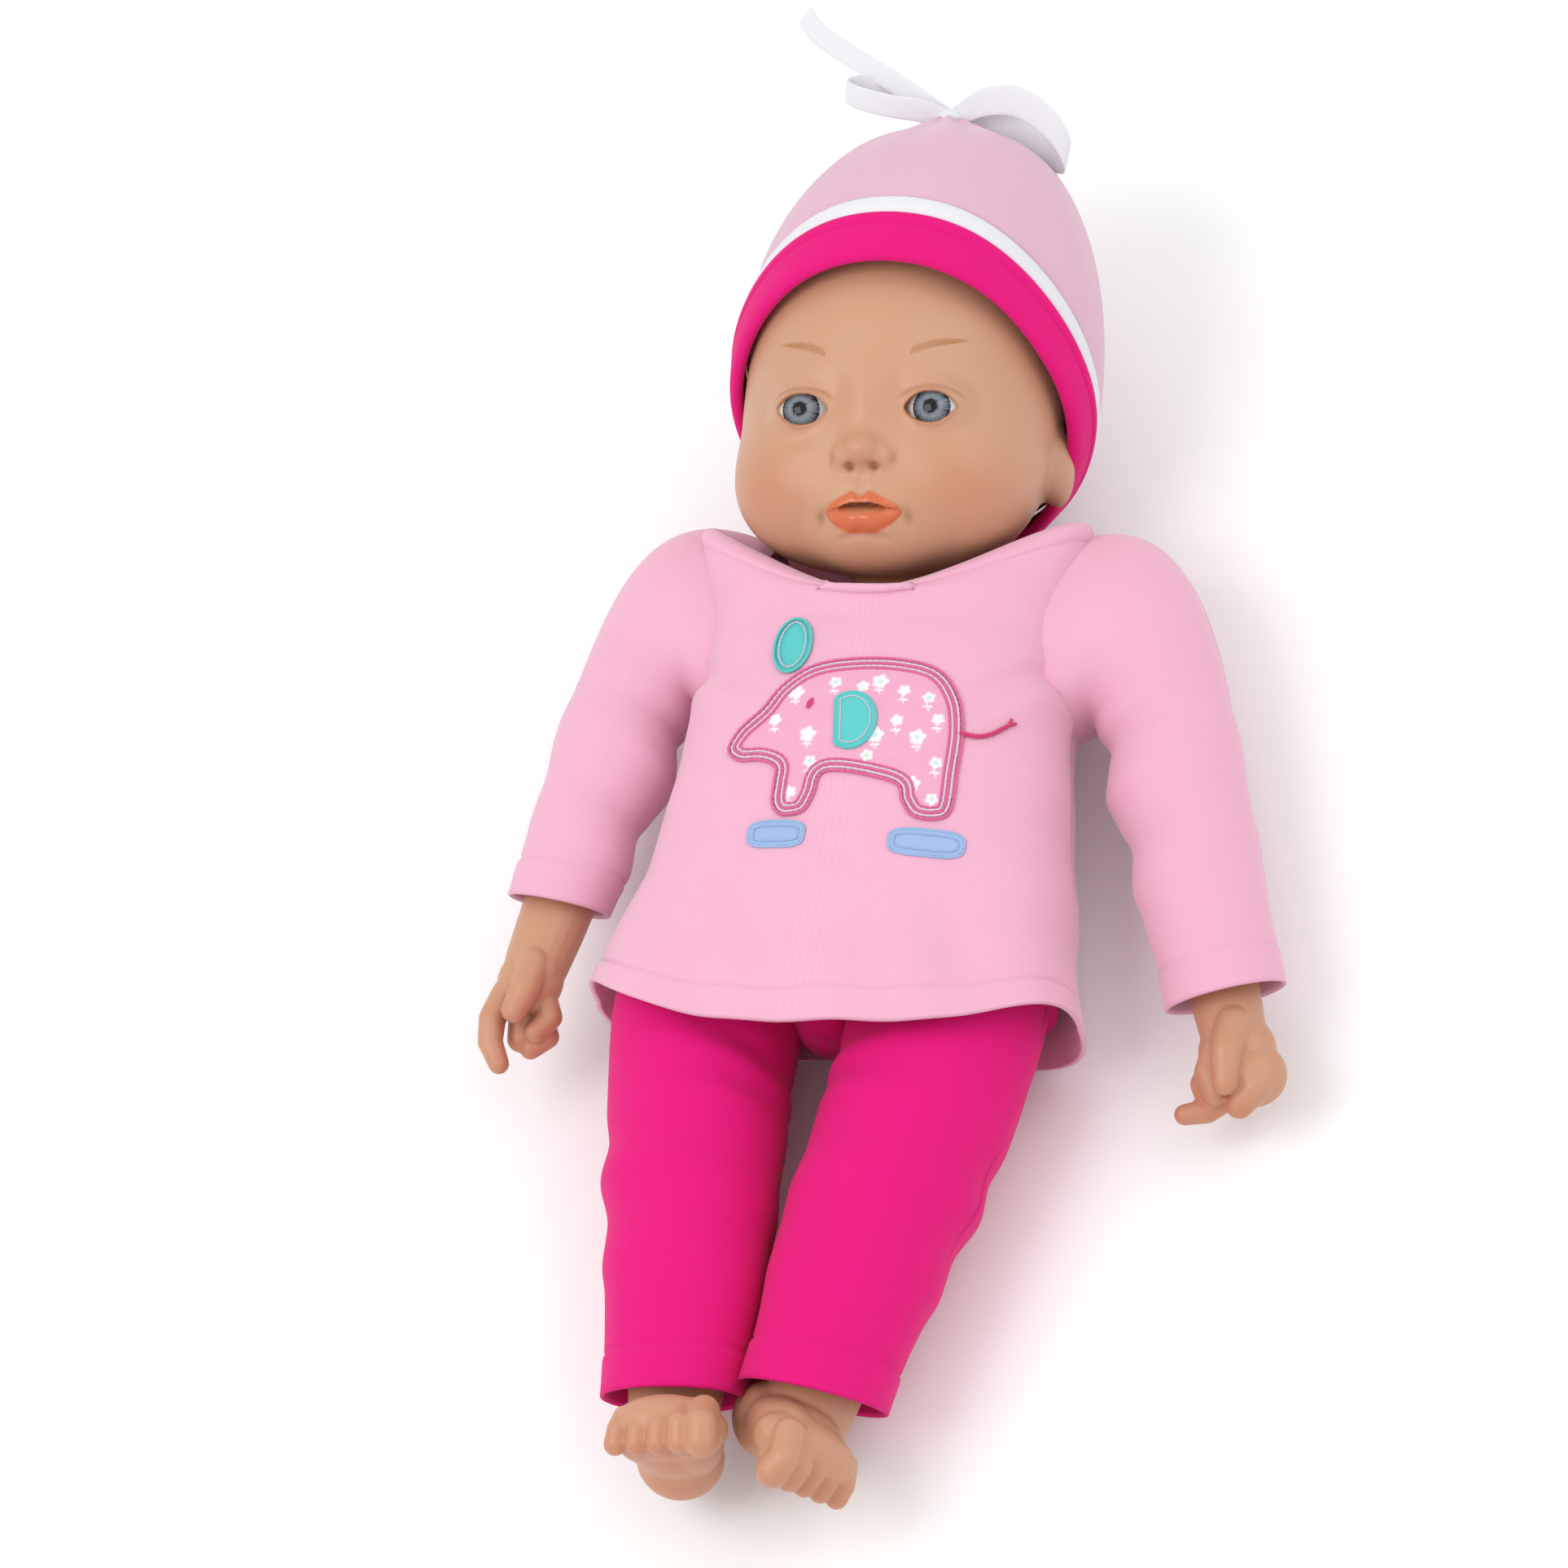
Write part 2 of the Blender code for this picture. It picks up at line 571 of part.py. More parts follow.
def hat_shape(name, grow, across=26, rows=14):
    """The outline of the hat in the head's frame, let out by grow."""
    mesh = ellipsoid_mesh(
        name, (0, 0, 0), (0.0619 + grow, 0.0614 + grow, 0.0860 + grow, 0.0638 + grow), across, rows
    )
    mesh = placed(mesh, Matrix.Translation((0.0045, 0.009, -0.005)) @ turn_to_up())
    for vertex in mesh.vertices:
        vertex.co.x += HAT_LEAN * max(0.0, vertex.co.y) ** 2
    return mesh


def brim_block(name, start, length=0.3):
    """Everything between two planes across the brim's normal."""
    mesh = box_mesh(name, (0, start + length / 2, 0), (0.3, length, 0.4))
    return placed(mesh, Vector((0, 1, 0)).rotation_difference(BRIM_NORMAL).to_matrix().to_4x4())


def build_hat(frame):
    """The hat: a dome, a piped edge, a turned-up brim, and a tied ribbon on top."""
    parts = (
        ("hat_crown", "hat_jersey", 0.0016, 0.0, BRIM_LINE + 0.0165, None),
        ("hat_piping", "white_jersey", 0.0034, 0.0, BRIM_LINE + 0.0136, BRIM_LINE + 0.0161),
        ("hat_brim", "hot_pink_jersey", 0.0040, 0.0002, BRIM_LINE, BRIM_LINE + 0.0132),
    )
    for name, material, outer, inner, low, high in parts:
        piece = add_object(name, hat_shape(name, outer), material, frame)
        boolean(piece, helper(hat_shape(f"{name}_room", inner), frame))
        boolean(piece, helper(brim_block(f"{name}_below", low - 0.3), frame))
        if high is not None:
            boolean(piece, helper(brim_block(f"{name}_above", high), frame))
    knot = ellipsoid_mesh("hat_bow", (0.0125, 0.1024, -0.0050), (0.0060, 0.0044, 0.0055), 14, 8)
    bow = add_object("hat_bow", knot, "white_jersey", frame)
    for side, word in ((RIGHT, "right"), (LEFT, "left")):
        loop = ellipsoid_mesh(f"bow_loop_{word}", (0, 0, 0), (0.0200, 0.0034, 0.0080), 16, 6)
        lean = Matrix.Rotation(side * math.radians(-12), 4, "Z")
        loop = placed(loop, Matrix.Translation((0.0125 + side * 0.0210, 0.1014, -0.0020)) @ lean)
        boolean(bow, helper(loop, frame), "UNION")
    tail = box_mesh("bow_tail", (0, 0, 0), (0.0100, 0.0380, 0.0014), 0.0003)
    tail = placed(tail, Matrix.Translation((-0.0005, 0.1150, -0.0070)) @ Matrix.Rotation(0.75, 4, "Z"))
    boolean(bow, helper(tail, frame), "UNION")


# ---- limbs ---------------------------------------------------------------------------------------
def sock_mesh(name, stations, wall):
    """A fabric tube round a limb, closed by a dome at its root and open at its far end."""
    inner = [(d + wall if d < 0 else d, rx - wall, rz - wall) for d, rx, rz in stations]
    return loft_mesh(name, limb_rings(stations) + list(reversed(limb_rings(inner))))


def band_mesh(name, stations, wall):
    """A fabric band round a limb, open at both ends."""
    inner = [(d, rx - wall, rz - wall) for d, rx, rz in stations]
    work = bmesh.new()
    rings = limb_rings(stations) + list(reversed(limb_rings(inner)))
    loops = [[work.verts.new(point) for point in ring] for ring in rings]
    count = len(rings[0])
    for k in range(len(loops)):
        low, high = loops[k], loops[(k + 1) % len(loops)]
        for i in range(count):
            j = (i + 1) % count
            work.faces.new((low[i], low[j], high[j], high[i]))
    bmesh.ops.recalc_face_normals(work, faces=work.faces)
    mesh = bpy.data.meshes.new(name)
    work.to_mesh(mesh)
    work.free()
    return mesh


def build_arm(side, word):
    """A stuffed upper arm tied to a vinyl forearm, inside a sleeve with a turned cuff."""
    spread = side * ARM_SPREAD[side]
    reach = REACH[side]
    place = Matrix.Translation(SHOULDER[side])
    turn = Matrix.Rotation(ARM_DROP[side], 4, "X") @ Matrix.Rotation(spread, 4, "Z")
    frame = frame_empty(f"arm_frame_{word}", place @ turn)

    cloth_rows = (
        (-0.0145, 0.0050, 0.0050),
        (-0.0115, 0.0105, 0.0110),
        (-0.0040, 0.0145, 0.0150),
        (0.0100, 0.0150, 0.0160),
        (0.0600, 0.0150, 0.0155),
        (0.0850 + reach, 0.0145, 0.0145),
    )
    cloth = add_object(
        f"upper_arm_{word}", loft_mesh(f"upper_arm_{word}", limb_rings(cloth_rows, count=20)), "body_cloth", frame
    )
    to_limb = Matrix.Rotation(math.radians(90), 4, "X")
    bore = placed(turned(f"arm_bore_{word}", ((0.0094, 0.0696 + reach), (0.0094, 0.0900 + reach)), 20), to_limb)
    boolean(cloth, helper(bore, frame))
    tie = placed(ring_mesh(f"arm_tie_{word}", 0.0160, 0.0172, 0.0015), to_limb @ Matrix.Translation((0, 0, 0.078 + reach)))
    add_object(f"arm_tie_{word}", tie, "tie_nylon", frame)

    fore_rows = (
        (0.0702, 0.0084, 0.0084),
        (0.0853, 0.0084, 0.0084),
        (0.0856, 0.0140, 0.0140),
        (0.1050, 0.0152, 0.0150),
        (0.1280, 0.0140, 0.0135),
        (0.1400, 0.0122, 0.0112),
        (0.1480, 0.0130, 0.0105),
    )
    fore_rows = [(d + reach, rx, rz) for d, rx, rz in fore_rows]
    forearm = loft_mesh(f"forearm_{word}", limb_rings(fore_rows, count=16))
    forearm = add_object(f"forearm_{word}", forearm, "vinyl_skin", frame)
    palm = ellipsoid_mesh(f"palm_{word}", (0, -0.1560 - reach, 0), (0.0160, 0.0160, 0.0110), 16, 10)
    boolean(forearm, helper(palm, frame), "UNION")
    for number, x in enumerate((-0.0115, -0.0040, 0.0040, 0.0115)):
        tip = reach + (0.0020 if number in (1, 2) else 0.0)
        start = (side * x, -0.1640 - tip, 0.0015)
        end = (side * x * 0.92, -0.1720 - tip, -0.0050)
        finger = capsule_mesh(f"finger_{word}_{number}", start, end, 0.0044, 0.0039)
        boolean(forearm, helper(finger, frame), "UNION")
    thumb = capsule_mesh(
        f"thumb_{word}", (-side * 0.0110, -0.1500 - reach, 0.0040), (-side * 0.0130, -0.1620 - reach, 0.0095), 0.0046, 0.0041
    )
    boolean(forearm, helper(thumb, frame), "UNION")

    length = SLEEVE_LENGTH[side]
    sleeve_rows = (
        (-0.0180, 0.0060, 0.0060),
        (-0.0165, 0.0105, 0.0105),
        (-0.0120, 0.0150, 0.0152),
        (-0.0040, 0.0172, 0.0180),
        (0.0120, 0.0178, 0.0192),
        (0.0320, 0.0192, 0.0200),
        (0.0650, 0.0205, 0.0205),
        (0.1000, 0.0200, 0.0200),
        (length - 0.0140, 0.0192, 0.0190),
    )
    add_object(f"sleeve_{word}", sock_mesh(f"sleeve_{word}", sleeve_rows, FABRIC), "pink_jersey", frame)
    cuff_rows = ((length - 0.0136, 0.0194, 0.0192), (length, 0.0190, 0.0188))
    add_object(f"sleeve_cuff_{word}", band_mesh(f"sleeve_cuff_{word}", cuff_rows, 0.0022), "pink_jersey", frame)


def build_leg(side, word):
    """A stuffed thigh tied to a vinyl lower leg with its foot, inside a trouser leg."""
    place = Matrix.Translation((side * HIP.x + HIP_SHIFT, HIP.y, HIP.z))
    frame = frame_empty(f"leg_frame_{word}", place @ Matrix.Rotation(-side * LEG_CLOSE[side], 4, "Z"))

    cloth_rows = (
        (-0.0285, 0.0080, 0.0080),
        (-0.0255, 0.0160, 0.0145),
        (-0.0185, 0.0235, 0.0220),
        (-0.0080, 0.0280, 0.0280),
        (0.0050, 0.0290, 0.0290),
        (0.0300, 0.0270, 0.0275),
        (0.0600, 0.0230, 0.0235),
        (0.0800, 0.0200, 0.0200),
    )
    cloth = add_object(
        f"thigh_{word}", loft_mesh(f"thigh_{word}", limb_rings(cloth_rows)), "body_cloth", frame
    )
    to_limb = Matrix.Rotation(math.radians(90), 4, "X")
    bore = placed(turned(f"leg_bore_{word}", ((0.0124, 0.0656), (0.0124, 0.0900)), 20), to_limb)
    boolean(cloth, helper(bore, frame))
    tie = placed(ring_mesh(f"leg_tie_{word}", 0.0222, 0.0234, 0.0015), to_limb @ Matrix.Translation((0, 0, 0.073)))
    add_object(f"leg_tie_{word}", tie, "tie_nylon", frame)

    leg_rows = (
        (0.0662, 0.0112, 0.0112),
        (0.0803, 0.0112, 0.0112),
        (0.0806, 0.0190, 0.0190),
        (0.1050, 0.0190, 0.0195),
        (0.1300 + SHIN, 0.0165, 0.0175),
        (0.1420 + SHIN, 0.0155, 0.0165),
        (0.1500 + SHIN, 0.0140, 0.0160),
    )
    leg = loft_mesh(f"lower_leg_{word}", limb_rings(leg_rows, count=16))
    leg = add_object(f"lower_leg_{word}", leg, "vinyl_skin", frame)
    roll = Matrix.Rotation(side * FOOT_ROLL[side], 4, "Y")
    heel = ellipsoid_mesh(f"heel_{word}", (0, -0.1500 - SHIN, -0.0100), (0.0150, 0.0150, 0.0180), 16, 10)
    boolean(leg, helper(placed(heel, roll), frame), "UNION")
    sole = ellipsoid_mesh(f"sole_{word}", (0, -0.1520 - SHIN, 0.0080), (0.0175, 0.0125, 0.0270), 16, 10)
    boolean(leg, helper(placed(sole, roll), frame), "UNION")
    for number in range(5):
        inward = -side * (0.0125 - 0.0063 * number)
        radius = 0.0056 if number == 0 else 0.0042 - 0.0002 * number
        start = (inward, -0.1520 - SHIN, 0.0240 - 0.0014 * number)
        end = (inward, -0.1545 - SHIN, 0.0315 - 0.0022 * number)
        toe = capsule_mesh(f"toe_{word}_{number}", start, end, radius, radius)
        boolean(leg, helper(placed(toe, roll), frame), "UNION")

    length = TROUSER_LENGTH
    trouser_rows = (
        (-0.0318, 0.0100, 0.0100),
        (-0.0290, 0.0180, 0.0165),
        (-0.0215, 0.0268, 0.0250),
        (-0.0100, 0.0312, 0.0308),
        (0.0050, 0.0325, 0.0325),
        (0.0300, 0.0315, 0.0318),
        (0.0600, 0.0290, 0.0292),
        (0.0950, 0.0255, 0.0260),
        (length - 0.0140, 0.0222, 0.0230),
    )
    add_object(f"trouser_leg_{word}", sock_mesh(f"trouser_leg_{word}", trouser_rows, FABRIC), "hot_pink_jersey", frame)
    cuff_rows = ((length - 0.0136, 0.0224, 0.0232), (length, 0.0216, 0.0224))
    add_object(f"trouser_cuff_{word}", band_mesh(f"trouser_cuff_{word}", cuff_rows, 0.0022), "hot_pink_jersey", frame)


# ---- shirt ---------------------------------------------------------------------------------------
PATCH = (
    (-0.0335, -0.0045),
    (-0.0310, -0.0100),
    (-0.0265, -0.0085),
    (-0.0235, -0.0150),
    (-0.0225, -0.0265),
    (-0.0090, -0.0270),
    (-0.0060, -0.0180),
    (0.0130, -0.0210),
    (0.0160, -0.0330),
    (0.0340, -0.0340),
    (0.0380, -0.0120),
    (0.0400, 0.0060),
    (0.0300, 0.0180),
    (0.0120, 0.0220),
    (0.0000, 0.0210),
    (-0.0080, 0.0280),
    (-0.0180, 0.0270),
    (-0.0250, 0.0170),
    (-0.0290, 0.0060),
)


def build_shirt():
    """The body of the top with its collar, its hem over the thighs and the animal patch."""
    shirt = add_object("shirt_body", loft_mesh("shirt_body", torso_rings(0.0024, 0.0)), "pink_jersey")
    boolean(shirt, helper(loft_mesh("shirt_room", torso_rings(0.0010, 0.0013))))
    boolean(shirt, helper(head_sweep("shirt_head_room", 0.0036)))
    boolean(shirt, helper(hip_cut("shirt_hip_room", WAIST)))

    collar = add_object("collar_band", head_sweep("collar_band", 0.0032), "pink_jersey")
    boolean(collar, helper(head_sweep("collar_room", 0.0004)))
    boolean(collar, helper(loft_mesh("collar_outside", torso_rings(0.0032, 0.0))), "INTERSECT")
    boolean(collar, helper(loft_mesh("collar_inside", torso_rings(-0.0026, 0.0040))))

    rings = []
    rows = ((WAIST - GAP, 0.0755), (-0.0600, 0.0790), (-0.0850, 0.0805), (-0.1010, 0.0815))
    for y, half in rows:
        rings.append([Vector((p.x, p.y, max(p.z, 0.0))) for p in section(y, half, -0.001, 0.0752, 3.0, HEM_CENTRE, 40)])
    for y, half in reversed(rows):
        ring = section(y, half - 0.0016, 0.0006, 0.0736, 3.0, HEM_CENTRE, 40)
        rings.append([Vector((p.x, p.y, max(p.z, 0.0016))) for p in ring])
    work = bmesh.new()
    loops = [[work.verts.new(point) for point in ring] for ring in rings]
    for k in range(len(loops)):
        low, high = loops[k], loops[(k + 1) % len(loops)]
        for i in range(len(low)):
            j = (i + 1) % len(low)
            work.faces.new((low[i], low[j], high[j], high[i]))
    bmesh.ops.recalc_face_normals(work, faces=work.faces)
    mesh = bpy.data.meshes.new("shirt_hem")
    work.to_mesh(mesh)
    work.free()
    add_object("shirt_hem", mesh, "pink_jersey")

    patch = add_object("elephant_patch", loft_mesh("elephant_patch", torso_rings(0.0038)), "applique")
    outline = [[Vector((x, y, z)) for x, y in PATCH] for z in (0.060, 0.120)]
    boolean(patch, helper(loft_mesh("patch_outline", outline)), "INTERSECT")
    boolean(patch, helper(loft_mesh("patch_under", torso_rings(0.0028))))

    seat = placed(
        turned("trouser_seat", ((0.0300, -0.0015), (0.0300, 0.0015)), 32),
        Matrix.Translation((HIP_SHIFT - 0.0029, HIP.y, HIP.z)) @ Matrix.Rotation(math.radians(90), 4, "Y"),
    )
    add_object("trouser_seat", seat, "hot_pink_jersey")


# ---- assembly --------------------------------------------------------------------------------------
def main():
    """Clears the start-up scene and builds every piece where it stays."""
    for start in list(bpy.data.objects):
        bpy.data.objects.remove(start, do_unlink=True)
    build_torso()
    build_neck()
    build_module()
    frame = frame_empty("head_frame", head_matrix())
    build_head(frame)
    build_mouth(frame)
    build_hat(frame)
    for side, word in ((RIGHT, "right"), (LEFT, "left")):
        build_arm(side, word)
        build_leg(side, word)
    build_shirt()


main()
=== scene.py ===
# %% [markdown]
# # A baby doll in a hat, made in Blender
# The doll lies on its back on a pale floor. Its head, hands and feet are soft vinyl, its middle is
# stuffed cloth, and it wears a knitted top, trousers and a hat. The model that moves it is already
# packed: it gives a body for the head, for each limb and so on. Every surface here is computed with
# numpy, put in its own place in space, and then told which body to follow.

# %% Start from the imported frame
import json
import math

import bpy
import numpy as np
from mathutils import Matrix


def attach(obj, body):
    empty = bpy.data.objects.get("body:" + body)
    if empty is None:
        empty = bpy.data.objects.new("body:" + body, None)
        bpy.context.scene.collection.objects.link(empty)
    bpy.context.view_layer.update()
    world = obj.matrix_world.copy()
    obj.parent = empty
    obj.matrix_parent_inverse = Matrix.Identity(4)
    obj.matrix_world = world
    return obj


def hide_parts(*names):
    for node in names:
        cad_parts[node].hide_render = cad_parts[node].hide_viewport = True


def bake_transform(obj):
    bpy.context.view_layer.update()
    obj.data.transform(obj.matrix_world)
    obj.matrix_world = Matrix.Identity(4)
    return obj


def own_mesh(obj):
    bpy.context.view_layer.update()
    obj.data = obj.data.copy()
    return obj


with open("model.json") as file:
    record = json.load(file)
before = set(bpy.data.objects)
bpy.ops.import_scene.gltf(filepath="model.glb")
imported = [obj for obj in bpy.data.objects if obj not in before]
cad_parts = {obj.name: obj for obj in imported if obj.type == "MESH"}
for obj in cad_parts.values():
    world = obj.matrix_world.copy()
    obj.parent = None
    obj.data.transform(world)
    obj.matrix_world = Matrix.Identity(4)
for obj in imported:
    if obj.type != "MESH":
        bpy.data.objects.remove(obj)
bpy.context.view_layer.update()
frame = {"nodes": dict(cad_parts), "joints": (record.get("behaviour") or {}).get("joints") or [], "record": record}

joints = {joint["name"]: joint for joint in frame["joints"]}

# %% [markdown]
# The head has its own axes: X to its left, Y up to the crown, Z out of the face. They come from the
# joint that turns the head, so that the face, the eyes and the hat are always made in the head's own
# terms and only then carried to where the head lies.

# %% Carry points from the head's axes, an arm's or a leg's to the doll's
HEAD_UP = np.array(joints["head_turn"]["axis"], float)
HEAD_UP /= np.linalg.norm(HEAD_UP)
HEAD_OUT = np.cross([1.0, 0.0, 0.0], HEAD_UP)
HEAD_CENTRE = np.array(joints["head_turn"]["pos_m"], float) + 0.074 * HEAD_UP
HEAD_AXES = np.array([[1.0, 0.0, 0.0], HEAD_UP, HEAD_OUT])


def from_head(points):
    """Points along the head's axes, as points of the doll: each is centre + x right + y up + z out."""
    return np.asarray(points) @ HEAD_AXES + HEAD_CENTRE


def turned_about(axis, degrees):
    """The matrix that turns a row of points about x, y or z by the right-hand rule."""
    a = math.radians(degrees)
    c, s = math.cos(a), math.sin(a)
    i, j = {"x": (1, 2), "y": (2, 0), "z": (0, 1)}[axis]
    matrix = np.eye(3)
    matrix[i, i], matrix[i, j], matrix[j, i], matrix[j, j] = c, s, -s, c
    return matrix


ARM = {
    "right": (np.array(joints["right_shoulder"]["pos_m"]), turned_about("z", -10)),
    "left": (np.array(joints["left_shoulder"]["pos_m"]), turned_about("z", 16) @ turned_about("x", 4.5)),
}
LEG = {
    "right": (np.array(joints["right_hip"]["pos_m"]), turned_about("z", 3)),
    "left": (np.array(joints["left_hip"]["pos_m"]), turned_about("z", -10)),
}


def from_limb(limb, points):
    """Points beside a limb that runs along -Y from its joint, as points of the doll."""
    origin, axes = limb
    return np.asarray(points) @ axes + origin


print("the head's centre is at", np.round(HEAD_CENTRE, 4))

# %% [markdown]
# A surface is a table of points: one row for each step along it, one column for each step round it.
# Two rows and two columns meet in one face. The helper below turns such a table into a mesh, and adds
# a point in the middle of the first or last row where the surface has to close.


# %% Turn a table of points into a mesh
def surface(name, table, wrap=True, close_first=False, close_last=False, uv=None, flip=False):
    """A mesh whose faces join each point to the next in its row and in the next row."""
    table = np.asarray(table, float)
    rows, columns = table.shape[:2]
    points = table.reshape(-1, 3)
    index = np.arange(rows * columns).reshape(rows, columns)
    right = np.roll(index, -1, axis=1) if wrap else index[:, 1:]
    left = index if wrap else index[:, :-1]
    quads = np.stack([left[:-1], right[:-1], right[1:], left[1:]], axis=-1).reshape(-1, 4)
    faces = quads[:, ::-1] if flip else quads
    faces = faces.tolist()
    extra = []
    for closing, ring, turn in ((close_first, 0, False), (close_last, rows - 1, True)):
        if closing:
            middle = len(points) + len(extra)
            extra.append(table[ring].mean(axis=0))
            a, b = left[ring], right[ring]
            fan = np.stack([b, a, np.full(len(a), middle)], axis=-1)
            fan = fan[:, ::-1] if turn != flip else fan
            faces += fan.tolist()
    if extra:
        points = np.vstack([points, extra])
    mesh = bpy.data.meshes.new(name)
    mesh.from_pydata(points.tolist(), [], faces)
    if uv is not None:
        flat = np.asarray(uv, float).reshape(-1, 2)
        if extra:
            means = [np.asarray(uv)[r].mean(axis=0) for r, c in ((0, close_first), (-1, close_last)) if c]
            flat = np.vstack([flat, means])
        corner = np.zeros(len(mesh.loops), np.int32)
        mesh.loops.foreach_get("vertex_index", corner)
        layer = mesh.uv_layers.new(name="cloth")
        layer.data.foreach_set("uv", flat[corner].astype(np.float32).ravel())
    mesh.shade_smooth()
    piece = bpy.data.objects.new(name, mesh)
    bpy.context.scene.collection.objects.link(piece)
    return piece


def share(piece, name, values):
    """Stores one number for each point of the piece, for its material to read."""
    count = len(piece.data.vertices)
    flat = np.asarray(values, float).ravel()
    if len(flat) < count:
        flat = np.concatenate([flat, np.full(count - len(flat), flat[-1])])
    piece.data.attributes.new(name, "FLOAT", "POINT").data.foreach_set("value", flat.astype(np.float32))
    return piece


def thicken(piece, thickness, offset=-1.0):
    """Gives a sheet its thickness with Solidify."""
    wall = piece.modifiers.new("thickness", "SOLIDIFY")
    wall.thickness = thickness
    wall.offset = offset
    wall.use_even_offset = True
    return piece


def dressed(piece, material, slot_name, body, *nodes):
    """Gives a piece its material and its body, and hides the CAD nodes that it stands for; slot_name is not used.
    """
    piece.data.materials.clear()
    piece.data.materials.append(material)
    if body:
        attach(piece, body)
    if nodes:
        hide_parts(*nodes)
    return piece


print("helpers ready")

# %% [markdown]
# Shapes are measured with a few smooth functions. A bump is 1 in its middle and fades to 0 with
# distance. A step goes from 0 to 1 between two values. Soft joining of two solids takes the smaller of
# their two distances and rounds the corner between them.


# %% Smooth functions
def bump(distance, width):
    """exp(-(distance / width) squared): a bell."""
    return np.exp(-((distance / width) ** 2))


def step(low, high, value):
    """0 below low, 1 above high, and 3t^2 - 2t^3 in between."""
    t = np.clip((value - low) / (high - low), 0, 1)
    return t * t * (3 - 2 * t)


def soft_min(a, b, k):
    """The smaller of two distances, with the corner rounded over k."""
    h = np.clip(0.5 + 0.5 * (b - a) / k, 0, 1)
    return b + (a - b) * h - k * h * (1 - h)


def ellipsoid(p, centre, radii):
    """Roughly the distance outside an ellipsoid: k0 (k0 - 1) / k1."""
    q = p - np.asarray(centre)
    k0 = np.linalg.norm(q / np.asarray(radii), axis=-1)
    k1 = np.linalg.norm(q / np.asarray(radii) ** 2, axis=-1)
    return k0 * (k0 - 1) / np.maximum(k1, 1e-9)


def ripple(x, y, seed, scale):
    """A gentle random-looking relief: the mean of seven waves in seeded directions."""
    rng = np.random.default_rng(seed)
    total = 0
    for angle, phase, stretch in zip(
        rng.uniform(0, 6.28, 7), rng.uniform(0, 6.28, 7), rng.uniform(0.6, 1.6, 7)
    ):
        total = total + np.sin((x * np.cos(angle) + y * np.sin(angle)) * stretch / scale * 6.28 + phase)
    return total / 7


print("a bump at its middle:", float(bump(0.0, 1.0)))

# %% [markdown]
# ## Finishes
# The knit is a jersey: columns of tiny loops. Its material reads the cloth map, which is measured in
# metres on each piece, so the loops have one size everywhere. The vinyl is a soft, slightly waxy
# plastic, with a warm red sprayed on by hand where a baby's skin would blush.


# %% Helpers for node materials
def new_material(name):
    """An empty Principled material and handy shortcuts to its nodes."""
    material = bpy.data.materials.new(name)
    material.use_nodes = True
    tree = material.node_tree
    return material, tree, tree.nodes["Principled BSDF"]


def add(tree, kind, **settings):
    """One node; settings that name an input set its value, and others set a property."""
    node = tree.nodes.new(kind)
    for key, value in settings.items():
        if key in node.inputs:
            node.inputs[key].default_value = value
        else:
            setattr(node, key, value)
    return node


def math_node(tree, operation, first, second=None):
    """A Math node fed by sockets or numbers."""
    node = tree.nodes.new("ShaderNodeMath")
    node.operation = operation
    for socket, value in zip(node.inputs, (first, second)):
        if value is None:
            continue
        if isinstance(value, (int, float)):
            socket.default_value = value
        else:
            tree.links.new(value, socket)
    return node.outputs[0]


def mix_colour(tree, factor, first, second, blend="MIX"):
    """A colour mix fed by sockets or colours."""
    node = tree.nodes.new("ShaderNodeMix")
    node.data_type = "RGBA"
    node.blend_type = blend
    for socket, value in ((node.inputs[0], factor), (node.inputs[6], first), (node.inputs[7], second)):
        if isinstance(value, (int, float)):
            socket.default_value = value
        elif isinstance(value, tuple):
            socket.default_value = (*value, 1.0) if len(value) == 3 else value
        else:
            tree.links.new(value, socket)
    return node.outputs[2]


def noise(tree, scale, detail=3.0, vector=None, output="Fac"):
    """A Noise texture on Object coordinates unless another vector is given."""
    node = add(tree, "ShaderNodeTexNoise", Scale=scale, Detail=detail)
    if vector is None:
        vector = tree.nodes.new("ShaderNodeTexCoord").outputs["Object"]
    tree.links.new(vector, node.inputs["Vector"])
    return node.outputs[output]


def attribute(tree, name):
    """The number that share() stored."""
    return add(tree, "ShaderNodeAttribute", attribute_name=name).outputs["Fac"]


print("node helpers ready")

# %% The knitted jersey
WALE, COURSE = 0.00075, 0.0006  # the width of a column of loops and the height of a loop


